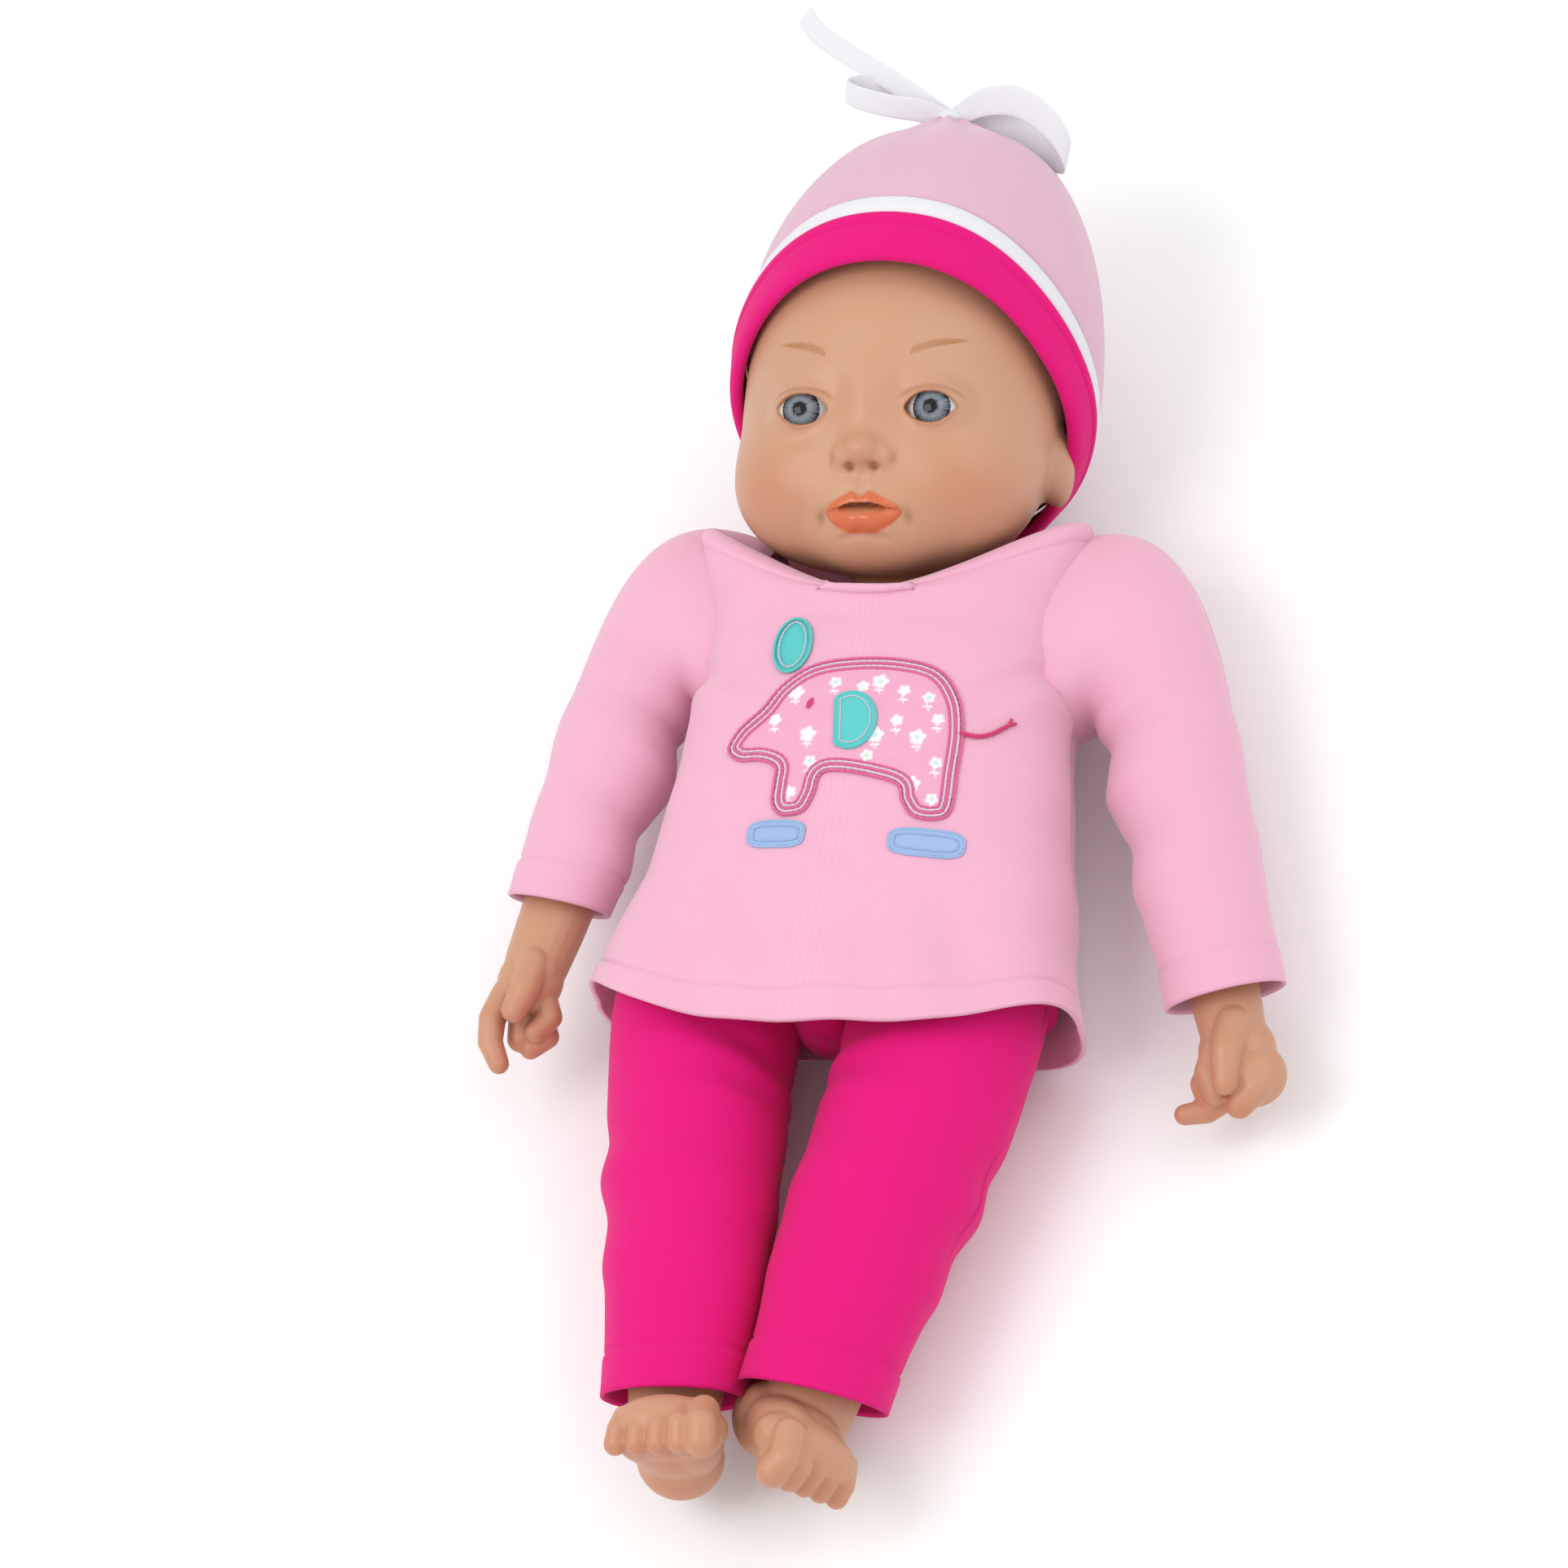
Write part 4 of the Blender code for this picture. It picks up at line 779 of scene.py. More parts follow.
# %% The crown, with soft folds that run up to the tie
t = np.linspace(0, 1, 70)[:, None]
start = egg_angle(ALPHA, np.full_like(ALPHA, 0.0190))[None, :]
phi = start * (1 - t) + 0.035 * t
alpha = np.broadcast_to(around, phi.shape)
gather = bump(phi, 0.55)
slack = 0.0014 + 0.0006 * gather * np.sin(11 * alpha + 0.7 * np.sin(3 * alpha)) + 0.0045 * bump(phi, 0.12)
slack = slack + 0.0007 * ripple(alpha * 0.5 + phi, phi * 0.8, 5, 1.1) * step(0.0, 0.15, t)
slack = slack - 0.0016 * bump(t, 0.02) + 0.0016 * bump(alpha - 0.35, 0.20) * bump(phi - 1.2, 0.5)
slack = slack + pinch(alpha, egg(alpha, phi) @ BRIM_NORMAL - BRIM_LINE)
crown_table = from_head(egg(alpha, phi) + egg_out(alpha, phi) * slack[..., None])
crown_uv = np.stack([alpha * 0.060 * np.maximum(np.sin(phi), 0.2), phi * 0.075], axis=-1)
crown = surface("crown_cloth", crown_table, uv=crown_uv, flip=facing(crown_table), close_last=True)
dressed(thicken(crown, 0.0014), HAT_PINK, "hat_jersey", "head", "hat_crown")
print("the hat has", len(crown.data.polygons) + len(brim.data.polygons) + len(strip.data.polygons), "faces")


# %% The ribbon bow
def ribbon(name, spine, side, width, thickness=0.0010, columns=9):
    """A flat band along a curve through its spine points; side gives its width direction at each."""
    spine, side = np.asarray(spine, float), np.asarray(side, float)
    t = np.linspace(0, len(spine) - 1, 22 * (len(spine) - 1))
    i = np.clip(t.astype(int), 0, len(spine) - 2)
    f = (t - i)[:, None]
    before, after = spine[np.maximum(i - 1, 0)], spine[np.minimum(i + 2, len(spine) - 1)]
    first, last = spine[i], spine[i + 1]
    curve = (
        0.5 * (
            2 * first
            + (last - before) * f
            + (2 * before - 5 * first + 4 * last - after) * f**2
            + (3 * first - before - 3 * last + after) * f**3
        )
    )
    across = side[i] * (1 - f) + side[i + 1] * f
    across = across / np.linalg.norm(across, axis=1, keepdims=True)
    tangent = np.gradient(curve, axis=0)
    tangent /= np.linalg.norm(tangent, axis=1, keepdims=True)
    normal = np.cross(tangent, across)
    a = np.linspace(0, 2 * math.pi, 2 * columns, endpoint=False)
    u = np.sign(np.cos(a)) * np.abs(np.cos(a)) ** 0.35 * width / 2
    v = np.sign(np.sin(a)) * np.abs(np.sin(a)) ** 0.9 * thickness / 2
    table = curve[:, None] + across[:, None] * u[None, :, None] + normal[:, None] * v[None, :, None]
    arc = np.concatenate([[0], np.cumsum(np.linalg.norm(np.diff(curve, axis=0), axis=1))])
    uv = np.stack(
        [np.broadcast_to(u[None], table.shape[:2]), np.broadcast_to(arc[:, None], table.shape[:2])], axis=-1
    )
    table = from_head(table)
    return surface(name, table, uv=uv, flip=facing(table), close_first=True, close_last=True)


KNOT = np.array([0.0125, 0.1000, -0.0050])
loops = {
    "bow_left": (
        [
            (0, 0, 0), (0.012, 0.005, 0.005), (0.026, 0.004, 0.008), (0.038, -0.005, 0.007),
            (0.042, -0.014, 0.002), (0.035, -0.012, -0.003), (0.021, -0.003, -0.004),
            (0.009, 0.001, -0.003), (0, 0, 0),
        ],
        [(0.25, 1, 0.25)] * 9,
        0.0105,
    ),
    "bow_right": (
        [
            (0, 0, 0), (-0.009, 0.003, 0.005), (-0.021, 0.005, 0.007), (-0.033, 0.009, 0.005),
            (-0.037, 0.013, 0.000), (-0.030, 0.015, -0.005), (-0.016, 0.009, -0.006),
            (-0.006, 0.003, -0.003), (0, 0, 0),
        ],
        [(0.15, 1, 0.35)] * 9,
        0.0080,
    ),
    "bow_tail": (
        [
            (0, 0, 0), (-0.012, 0.009, -0.002), (-0.025, 0.018, -0.004), (-0.039, 0.027, -0.006),
            (-0.050, 0.035, -0.007), (-0.055, 0.042, -0.007),
        ],
        [(0.6, 0.8, 0.1)] * 6,
        0.0074,
    ),
    "bow_tail_behind": (
        [(0, 0, -0.002), (0.004, -0.010, -0.010), (0.010, -0.020, -0.020), (0.014, -0.032, -0.029)],
        [(1, 0.1, 0)] * 4,
        0.0060,
    ),
}
for name, (spine, side, width) in loops.items():
    piece = ribbon(name, np.array(spine) + KNOT, side, width)
    dressed(piece, WHITE, "white_jersey", "head", "hat_bow")
turns = np.linspace(0, math.pi, 16)[1:-1, None]
spins = np.linspace(0, 2 * math.pi, 28, endpoint=False)[None, :]
knot_table = np.stack([
    0.0058 * np.cos(turns) + 0 * spins,
    0.0046 * np.sin(turns) * np.cos(spins),
    0.0056 * np.sin(turns) * np.sin(spins) * (1 + 0.06 * np.sin(6 * spins)),
], axis=-1) + KNOT
knot_uv = np.stack([spins * 0.005 + 0 * turns, turns * 0.005 + 0 * spins], axis=-1)
knot_table = from_head(knot_table)
knot = surface("bow_knot", knot_table, uv=knot_uv, flip=facing(knot_table), close_first=True, close_last=True)
dressed(knot, WHITE, "white_jersey", "head", "hat_bow")
print("bow of", len(loops), "ribbons")

# %% [markdown]
# ## The top
# The top is knitted jersey over a stuffed middle. Every cross section is a rounded box, whose width and
# height change along the body. Near the neck the surface leaves the last section and curves over to
# the neck ring, which lies square to the head's own axis.


# %% The cross section of the top
BODY_Y = np.array([-0.110, -0.070, -0.045, -0.015, 0.020, 0.045, 0.064, 0.078])
BODY_HALF = np.array([0.0775, 0.0769, 0.0739, 0.0684, 0.0644, 0.0629, 0.0619, 0.0604])
BODY_TOP = np.array([0.0740, 0.0744, 0.0769, 0.0809, 0.0824, 0.0799, 0.0739, 0.0654])


def smooth_along(y, values):
    """Linear between the sections, then averaged over 12 mm so that no corner shows."""
    spread = np.linspace(-0.012, 0.012, 9)
    weight = np.cos(spread / 0.012 * 1.5)
    y = np.asarray(y, float)
    return (np.interp(y[..., None] + spread, BODY_Y, values) * weight).sum(axis=-1) / weight.sum()


def rounded(angle, power):
    """Cosine and sine of a rounded box: sign(c) |c|^(2/p), sign(s) |s|^(2/p)."""
    c, s = np.cos(angle), np.sin(angle)
    return np.sign(c) * np.abs(c) ** (2 / power), np.sign(s) * np.abs(s) ** (2 / power)


def creases(x, y, front):
    """Soft folds: waves near the hem and the sides, and long dents that run from each armpit."""
    calm = 1 - 0.85 * bump(np.hypot((x - 0.006) / 1.25, y + 0.004), 0.036)
    folds = 0.0010 * ripple(x, y, 11, 0.050) + 0.0016 * ripple(x * 0.6, y * 1.7, 12, 0.075)
    for side, lean, depth in ((-1, 0.55, 0.0017), (1, 0.75, 0.0022)):
        u, v = side * x - 0.060, y - 0.036
        along_fold = -u * math.cos(lean) - v * math.sin(lean)
        away = u * math.sin(lean) - v * math.cos(lean)
        reach = step(-0.010, 0.004, along_fold) * (1 - step(0.012, 0.046, along_fold))
        folds = folds - depth * bump(away, 0.0040) * reach + 0.8 * depth * bump(away - 0.0075, 0.0050) * reach
    hem_wave = bump(y + 0.088, 0.030)
    folds = folds + hem_wave * (0.0012 * np.sin(x * 95 + 0.6) + 0.0009 * np.sin(x * 210 + y * 60))
    return folds * calm * np.where(front > 0, 1, 0.4)


def top_point(y, angle, tuck=0.0):
    """A point of the top: the rounded box at y, let out by the folds, never under the floor."""
    c, s = rounded(angle, 2.7)
    half, high = smooth_along(y, BODY_HALF), smooth_along(y, BODY_TOP)
    low = smooth_along(y, np.array([-0.003, -0.003, -0.003, -0.003, -0.003, -0.002, 0.0006, 0.0050]))
    drift = -0.004 * step(-0.035, -0.065, y) if np.ndim(y) == 0 else -0.004 * (1 - step(-0.065, -0.035, y))
    x = drift + half * c
    z = (low + high) / 2 + (high - low) / 2 * s
    lift = creases(x, y, s) - 0.0018 * (1 - step(-0.0402, -0.0370, y)) * tuck
    x, z = x + lift * c, z + lift * s
    return np.stack([x, y + 0 * x, np.maximum(z, 0.0004)], axis=-1)


def neck_point(angle, drop, grow):
    """The neck ring: an ellipse round the head's axis that rises by 26 mm at the sides and 21 at the nape."""
    c, s = np.cos(angle), np.sin(angle)
    nape = np.clip(-s, 0, 1) ** 2
    rise = c**2 + 0.8 * nape
    across = (0.0470 + 0.0178 * rise + grow) * c
    deep = np.where(s > 0, 0.0420, 0.0360) + 0.005 * nape + grow
    return from_head(
        np.stack([across, -0.0690 + 0.0260 * rise - drop, deep * s + 0.001 + 0.007 * c**2], axis=-1)
    )


TURN = np.linspace(0, 2 * math.pi, 240, endpoint=False)
NECK_START = 0.048


def yoke(t, angle):
    """A Bezier curve from the last section to the neck ring, for t from 0 to 1."""
    first = top_point(np.full_like(angle, NECK_START), angle)
    last = neck_point(angle, 0.0, 0.0)
    outwards = neck_point(angle, 0.0, 0.013) - last
    second = first + np.array([0, 0.020, 0])
    third = last + outwards * (0.5 + 0.5 * np.abs(np.sin(angle))[..., None]) - 0.006 * HEAD_UP
    t = t[..., None]
    point = (1 - t) ** 3 * first + 3 * t * (1 - t) ** 2 * second + 3 * t**2 * (1 - t) * third + t**3 * last
    point[..., 2] = np.maximum(point[..., 2], 0.0004)
    return point


rows_y = np.linspace(-0.0410, NECK_START, 84)
yy, aa = np.meshgrid(rows_y, TURN, indexing="ij")
lower_part = top_point(yy, aa, 1.0)
tt, ab = np.meshgrid(np.linspace(0, 1, 30)[1:], TURN, indexing="ij")
upper_part = yoke(tt, ab)
top_table = np.vstack([lower_part, upper_part])
arc = np.cumsum(np.linalg.norm(np.diff(top_table, axis=0, prepend=top_table[:1]), axis=2), axis=0)
top_uv = np.stack([np.broadcast_to(TURN * 0.060, arc.shape), arc], axis=-1)
top = surface("top_cloth", top_table, uv=top_uv, flip=facing(top_table))
dressed(thicken(top, 0.0012), PINK, "pink_jersey", "torso", "shirt_body")
print("the top has", len(top.data.polygons), "faces")

# %% [markdown]
# The neckline is finished with a narrow band. It follows the last rows of the top, lifted off them, and
# then turns in as a lining that closes the space round the neck.

# %% The neck band: a narrow double edge
band_t = np.linspace(0, 1, 12)
height = -0.0006 + 0.0019 * np.sin(band_t * math.pi) ** 0.5 + 0.0006 * band_t
lift_way = neck_point(TURN, 0.0, 0.010) - neck_point(TURN, 0.0, 0.0) + 0.006 * HEAD_UP
lift_way /= np.linalg.norm(lift_way, axis=1, keepdims=True)
rows = [yoke(np.full_like(TURN, 0.76 + 0.24 * k), TURN) + lift_way * h for k, h in zip(band_t, height)]
rows.append(neck_point(TURN, 0.0000, -0.0012))
rows.append(neck_point(TURN, 0.0060, -0.0014))
for q in np.linspace(0.1, 1, 8):  # a lining that closes the space between the collar and the neck
    rise = np.abs(np.cos(TURN)) ** 2
    rows.append(neck_point(TURN, 0.0060 + (0.020 * rise + 0.010) * q, -0.0016 - 0.021 * q**1.8))
collar_table = np.array(rows)
collar_table[..., 2] = np.maximum(collar_table[..., 2], 0.0004)
collar_arc = np.broadcast_to(np.linspace(0, 0.012, len(rows))[:, None], collar_table.shape[:2])
collar_uv = np.stack([np.broadcast_to(TURN * 0.045, collar_arc.shape), collar_arc], axis=-1)
collar = surface("neck_band", collar_table, uv=collar_uv, flip=facing(collar_table))
dressed(collar, PINK, "pink_jersey", "torso", "collar_band")
print("the neck band has", len(rows), "rows")

# %% [markdown]
# The stuffed body hides under the top. It is the shape of the top drawn in a little, closed at both
# ends, so that the top is not an empty shell. When both legs are raised high, the skirt still pulls away
# from the top in front, and the body does not fill that slit.

# %% The sewn cloth body under the top
under_y, under_a = np.meshgrid(np.linspace(-0.0700, NECK_START, 30), TURN[::3], indexing="ij")
under = top_point(under_y, under_a)
middle = np.array([0.0, 0.0, 0.0380])
under = (under - middle) * np.array([0.93, 1.0, 0.90]) + middle
rise = np.abs(np.cos(TURN[::3])) ** 2
neck_end = neck_point(TURN[::3], 0.0160 + 0.022 * rise, -0.0240)
climb = np.linspace(0, 1, 12)[1:, None, None]
under_table = np.vstack([under, under[-1] * (1 - climb) + neck_end * climb])
under_uv = np.stack([np.broadcast_to(TURN[::3] * 0.05, under_table.shape[:2]), under_table[..., 1]], axis=-1)
under_body = surface(
    "sewn_body", under_table, uv=under_uv, flip=facing(under_table), close_first=True, close_last=True
)
dressed(under_body, INSIDE["body_cloth"], "body_cloth", "torso", "body_cloth", "torso_filling")
print("the stuffed body has", len(under_body.data.polygons), "faces")

# %% [markdown]
# The skirt of the top is loose. It is longer in front and on the left than on the right. Its edge is
# turned up once and sewn with a row of small stitches.


# %% The hem
def hem_end(angle):
    """Where the skirt ends: shorter on the doll's right, by cosines of the angle round the body."""
    side = -0.0800 - 0.0050 * np.clip(np.cos(angle) * 3, -1, 1)
    middle = np.where(np.sin(angle) > 0, -0.1040, -0.0790)
    share_of_side = np.abs(np.cos(angle)) ** 2.2
    return middle * (1 - share_of_side) + side * share_of_side + 0.0010 * np.sin(3 * angle + 0.5)


def skirt(t, angle, thickness):
    """The skirt for t from -0.09, just inside the top, to 1 at the edge: let out by 5.6 t^1.5 mm."""
    y = -0.0362 + (hem_end(angle) + 0.0362) * t
    point = top_point(y, angle)
    flare = (
        0.0056 * np.maximum(t, 0) ** 1.5
        - 0.0011 * (np.minimum(t, 0) / 0.09) ** 2
        + 0.0007 * step(0.80, 0.84, t)
        - 0.0008 * bump(t - 0.815, 0.012)
        - thickness
    )
    c, s = rounded(angle, 2.7)
    point[..., 0] += flare * c
    point[..., 2] = np.maximum(
        point[..., 2] + (flare + 0.0005) * s * np.where(s > 0, 1, 0.2), 0.0003 + thickness * 0.5
    )
    return point


for word, start_angle in (("left", -0.5 * math.pi), ("right", 0.5 * math.pi)):
    angles = np.linspace(start_angle, start_angle + math.pi, 121)
    steps = np.linspace(-0.09, 1, 66)
    t2, a2 = np.meshgrid(steps, angles, indexing="ij")
    outer = skirt(t2, a2, 0.0)
    t3, a3 = np.meshgrid(np.array([1.0, 0.985, 0.9, 0.6, 0.3, 0.05]), angles, indexing="ij")
    inner = skirt(t3, a3, 0.0017)
    table = np.vstack([outer, inner])
    arc = np.cumsum(np.linalg.norm(np.diff(table, axis=0, prepend=table[:1]), axis=2), axis=0)
    uv = np.stack([np.broadcast_to(angles * 0.060, arc.shape), arc], axis=-1)
    away = np.stack([np.cos(a2), 0 * a2, np.sin(a2)], axis=-1)[:-1, :-1]
    hem = surface(f"hem_{word}", table, wrap=False, uv=uv, flip=facing(outer, away))
    dressed(hem, PINK, "pink_jersey", "torso", "shirt_hem")
    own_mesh(hem)
print("the hem reaches", round(float(hem_end(np.array([math.pi / 2]))[0]) * 1000), "mm in front")

# %% [markdown]
# ## Sleeves and trouser legs
# A sleeve starts at the armhole seam of the top and ends in a cuff on the wrist. It is one surface
# from the seam to the cuff, and it follows no body.


# %% Sleeves
SLEEVE = {
    "right": (
        -1,
        0.0830,
        0.126,
        [
            (0.045, 0.0210, 0.0205), (0.070, 0.0214, 0.0208), (0.095, 0.0192, 0.0194),
            (0.112, 0.0176, 0.0180), (0.126, 0.0168, 0.0172),
        ],
    ),
    "left": (
        1,
        0.0780,
        0.152,
        [
            (0.045, 0.0228, 0.0215), (0.075, 0.0226, 0.0215), (0.110, 0.0212, 0.0206),
            (0.136, 0.0200, 0.0198), (0.152, 0.0198, 0.0196),
        ],
    ),
}


def limb_ring(limb, d, rx, rz, angle):
    """A ring round a limb that runs along -Y: (rx cos, -d, rz sin), as points of the doll."""
    return from_limb(limb, np.stack([rx * np.cos(angle), -d + 0 * angle, rz * np.sin(angle)], axis=-1))


FOLD_DEPTH = 1.5  # times the depth that each fold is listed with


def sleeve_folds(d, angle, side):
    """Folds of a sleeve: a few slanted rings that are deepest inside the elbow, and soft waves."""
    inner = 0.5 - 0.5 * side * np.cos(angle)
    slant = d + 0.006 * np.cos(angle + 0.5) * side
    rings = 0
    for place, width, depth in (
        (0.050, 0.0065, 0.0016), (0.068, 0.0060, -0.0011), (0.088, 0.0070, 0.0013), (0.104, 0.0055, -0.0006)
    ):
        rings = rings + FOLD_DEPTH * depth * bump(slant - place, width)
    waves = 0.0008 * ripple(angle * 0.020, d, 21 + side, 0.060)
    return -rings * (0.25 + 0.9 * inner) + waves


for word, (side, shoulder_y, length, stations) in SLEEVE.items():
    limb, spin = ARM[word], np.linspace(0, 2 * math.pi, 180, endpoint=False)
    outer = side * np.cos(spin)
    stations = np.array(stations)
    hole = np.stack([
        side * (0.0470 - 0.0020 * outer),
        (shoulder_y - 0.0205) + 0.0375 * outer,
        0.0385 + 0.0225 * np.sin(spin) - 0.001 * outer,
    ], axis=-1)
    hole[:, 2] = np.maximum(hole[:, 2], 0.004)
    first_ring = limb_ring(limb, stations[0, 0], stations[0, 1], stations[0, 2], spin)
    lead_out = side * np.array([1.0, 0, 0])
    lead_in = first_ring - limb_ring(limb, stations[0, 0] + 0.01, stations[0, 1], stations[0, 2], spin)
    lead_in = lead_in / 0.01
    k = (0.5 + 0.5 * outer)[:, None]
    swell = np.stack([0 * spin, 0 * spin, 0.010 * np.sin(spin)], axis=-1)
    second = hole + lead_out * (0.014 + 0.030 * k) + np.array([0, 0.024, 0]) * k**2 + swell
    third = first_ring + lead_in * (0.009 + 0.038 * k)
    t = np.linspace(0, 1, 46)[:, None, None]
    root = (
        (1 - t) ** 3 * hole + 3 * t * (1 - t) ** 2 * second + 3 * t**2 * (1 - t) * third + t**3 * first_ring
    )
    seam = 0.0009 * bump(t - 0.035, 0.02) - 0.0006 * bump(t - 0.0, 0.02)
    root_out = root - root.mean(axis=1, keepdims=True)
    root = (
        root
        + root_out / np.linalg.norm(root_out, axis=2, keepdims=True) * (
            seam + 0.0006 * ripple(spin[None, :, None] * 0.02, t * 0.05, 31, 0.04)
        )
    )
    d_rows = np.linspace(stations[0, 0], length, 90)[1:, None]
    rx = np.interp(d_rows, stations[:, 0], stations[:, 1])
    rz = np.interp(d_rows, stations[:, 0], stations[:, 2])
    cuff = length - 0.0130
    shape = sleeve_folds(d_rows, spin[None, :], side) * step(stations[0, 0], stations[0, 0] + 0.010, d_rows)
    shape = shape * (1 - 0.6 * step(cuff - 0.004, length, d_rows))
    shape = shape + 0.0005 * step(cuff - 0.0008, cuff + 0.0006, d_rows) - 0.0006 * bump(d_rows - cuff, 0.0008)
    tilt = 0.0060 * np.sin(spin)[None]
    tube = limb_ring(
        limb,
        d_rows + tilt * step(length - 0.050, length, d_rows),
        rx + shape,
        rz + shape,
        spin[None, :] + 0 * d_rows,
    )
    inside_rows = np.array([length + 0.0004, length - 0.0010, length - 0.0060, length - 0.0140])[:, None]
    inside_step = np.array([-0.0008, -0.0017, -0.0018, -0.0019])[:, None]
    end_shape = shape[-1][None]
    lining = limb_ring(
        limb, inside_rows + tilt, rx[-1] + end_shape + inside_step, rz[-1] + end_shape + inside_step,
        spin[None] + 0 * inside_rows,
    )
    table = np.vstack([root, tube, lining])
    table[..., 2] = np.maximum(table[..., 2], 0.0004)
    arc = np.cumsum(np.linalg.norm(np.diff(table, axis=0, prepend=table[:1]), axis=2), axis=0)
    uv = np.stack([np.broadcast_to(spin * 0.020, arc.shape), arc], axis=-1)
    sleeve = surface(f"sleeve_cloth_{word}", table, uv=uv, flip=facing(table[:-4]))
    dressed(sleeve, PINK, "pink_jersey", "", f"sleeve_{word}", f"sleeve_cuff_{word}")
    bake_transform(sleeve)
print("two sleeves")

# %% [markdown]
# Each trouser leg follows its own leg. Near the hip it swells, and between the legs it is drawn in
# towards the middle seam, where small folds fan out.

# %% Trouser legs
TROUSER = {
    "right": (
        -1,
        [
            (-0.0310, 0.0120, 0.0120), (-0.0280, 0.0190, 0.0180), (-0.0200, 0.0280, 0.0262),
            (-0.0080, 0.0325, 0.0318), (0.010, 0.0335, 0.0330), (0.034, 0.0326, 0.0325),
            (0.058, 0.0312, 0.0312), (0.078, 0.0285, 0.0290), (0.104, 0.0258, 0.0262),
            (0.126, 0.0236, 0.0240), (0.143, 0.0230, 0.0234),
        ],
    ),
    "left": (
        1,
        [
            (-0.0310, 0.0120, 0.0120), (-0.0280, 0.0190, 0.0180), (-0.0200, 0.0280, 0.0262),
            (-0.0080, 0.0335, 0.0318), (0.010, 0.0355, 0.0335), (0.034, 0.0352, 0.0330),
            (0.058, 0.0334, 0.0316), (0.078, 0.0306, 0.0296), (0.104, 0.0272, 0.0268),
            (0.126, 0.0244, 0.0244), (0.143, 0.0236, 0.0236),
        ],
    ),
}
for word, (side, stations) in TROUSER.items():
    limb, spin = LEG[word], np.linspace(0, 2 * math.pi, 200, endpoint=False)
    stations = np.array(stations)
    length = stations[-1, 0]
    d = np.concatenate([np.linspace(-0.0310, -0.006, 26), np.linspace(-0.006, length, 130)[1:]])[:, None]
    kernel = np.linspace(-0.006, 0.006, 7)
    rx = np.mean(
        [np.interp(d + k * step(-0.030, -0.005, d), stations[:, 0], stations[:, 1]) for k in kernel], axis=0
    )
    rz = np.mean(
        [np.interp(d + k * step(-0.030, -0.005, d), stations[:, 0], stations[:, 2]) for k in kernel], axis=0
    )
    inward = 0.5 - 0.5 * side * np.cos(spin)[None]
    front = np.clip(np.sin(spin), 0, 1)[None]
    fan = 0
    for number, (place, slope, depth) in enumerate(
        ((0.012, 0.020, 0.0012), (0.024, 0.014, -0.0010), (0.036, 0.008, 0.0010), (0.050, -0.004, -0.0007))
    ):
        fan = (
            fan
            - FOLD_DEPTH * depth * bump(d - place - slope * inward, 0.0048) * inward**1.5 * (
                0.4 + 0.6 * front
            )
        )
    knee = 0
    for place, width, depth in (
        (0.060, 0.007, 0.0010), (0.074, 0.006, -0.0008), (0.088, 0.007, 0.0007), (0.104, 0.006, -0.0006)
    ):
        knee = (
            knee
            - FOLD_DEPTH * depth * bump(d - place + 0.004 * np.cos(spin)[None] * side, width) * (
                0.35 + 0.65 * (1 - inward)
            )
        )
    waves = (
        0.0010 * ripple(spin[None] * 0.030, d, 41 + side, 0.075)
        - (0.0058 if side < 0 else 0.0078) * inward**2.5 * bump(d - 0.030, 0.048)
    )
    cuff = length - 0.0135
    shape = (fan + knee + waves) * step(-0.030, -0.010, d) * (1 - 0.5 * step(cuff - 0.004, length, d))
    shape = shape + 0.0005 * step(cuff - 0.0008, cuff + 0.0006, d) - 0.0007 * bump(d - cuff, 0.0008)
    tilt = 0.0060 * np.sin(spin)[None]
    tube = limb_ring(
        limb, d + tilt * step(length - 0.050, length, d), rx + shape, rz + shape, spin[None] + 0 * d
    )
    inside_rows = np.array([length + 0.0004, length - 0.0010, length - 0.0060, length - 0.0160])[:, None]
    inside_step = np.array([-0.0008, -0.0017, -0.0018, -0.0019])[:, None]
    end_shape = shape[-1][None]
    lining = limb_ring(
        limb, inside_rows + tilt, rx[-1] + end_shape + inside_step, rz[-1] + end_shape + inside_step,
        spin[None] + 0 * inside_rows,
    )
    table = np.vstack([tube, lining])
    table[..., 2] = np.maximum(table[..., 2], 0.0004)
    arc = np.cumsum(np.linalg.norm(np.diff(table, axis=0, prepend=table[:1]), axis=2), axis=0)
    uv = np.stack([np.broadcast_to(spin * 0.030, arc.shape), arc], axis=-1)
    leg = surface(f"trouser_cloth_{word}", table, uv=uv, flip=facing(table[:-4]), close_first=True)
    dressed(leg, HOT_PINK, "hot_pink_jersey", f"leg_{word}", f"trouser_leg_{word}", f"trouser_cuff_{word}")
print("two trouser legs")

# %% [markdown]
# Each stuffed thigh is a row of rings along the leg, kept well inside the trouser leg. The simpler way,
# to keep the CAD solid, let it poke through where the trousers are drawn in.

# %% The cloth thighs inside the trousers
for word in ("right", "left"):
    rows = np.array(
        [
            (-0.0255, 0.0080), (-0.0230, 0.0150), (-0.0160, 0.0212), (-0.0040, 0.0240), (0.0200, 0.0246),
            (0.0450, 0.0240), (0.0650, 0.0218), (0.0790, 0.0190), (0.0800, 0.0160),
        ]
    )
    turn, step_at = np.meshgrid(np.linspace(0, 2 * math.pi, 48, endpoint=False), rows[:, 0])
    thigh_table = limb_ring(LEG[word], step_at, rows[:, 1:], rows[:, 1:], turn)
    thigh_uv = np.stack([turn * 0.024, step_at], axis=-1)
    thigh = surface(
        f"thigh_cloth_{word}", thigh_table, uv=thigh_uv, flip=facing(thigh_table), close_first=True,
        close_last=True,
    )
    dressed(thigh, INSIDE["body_cloth"], "body_cloth", f"leg_{word}", f"thigh_{word}")
print("two stuffed thighs")

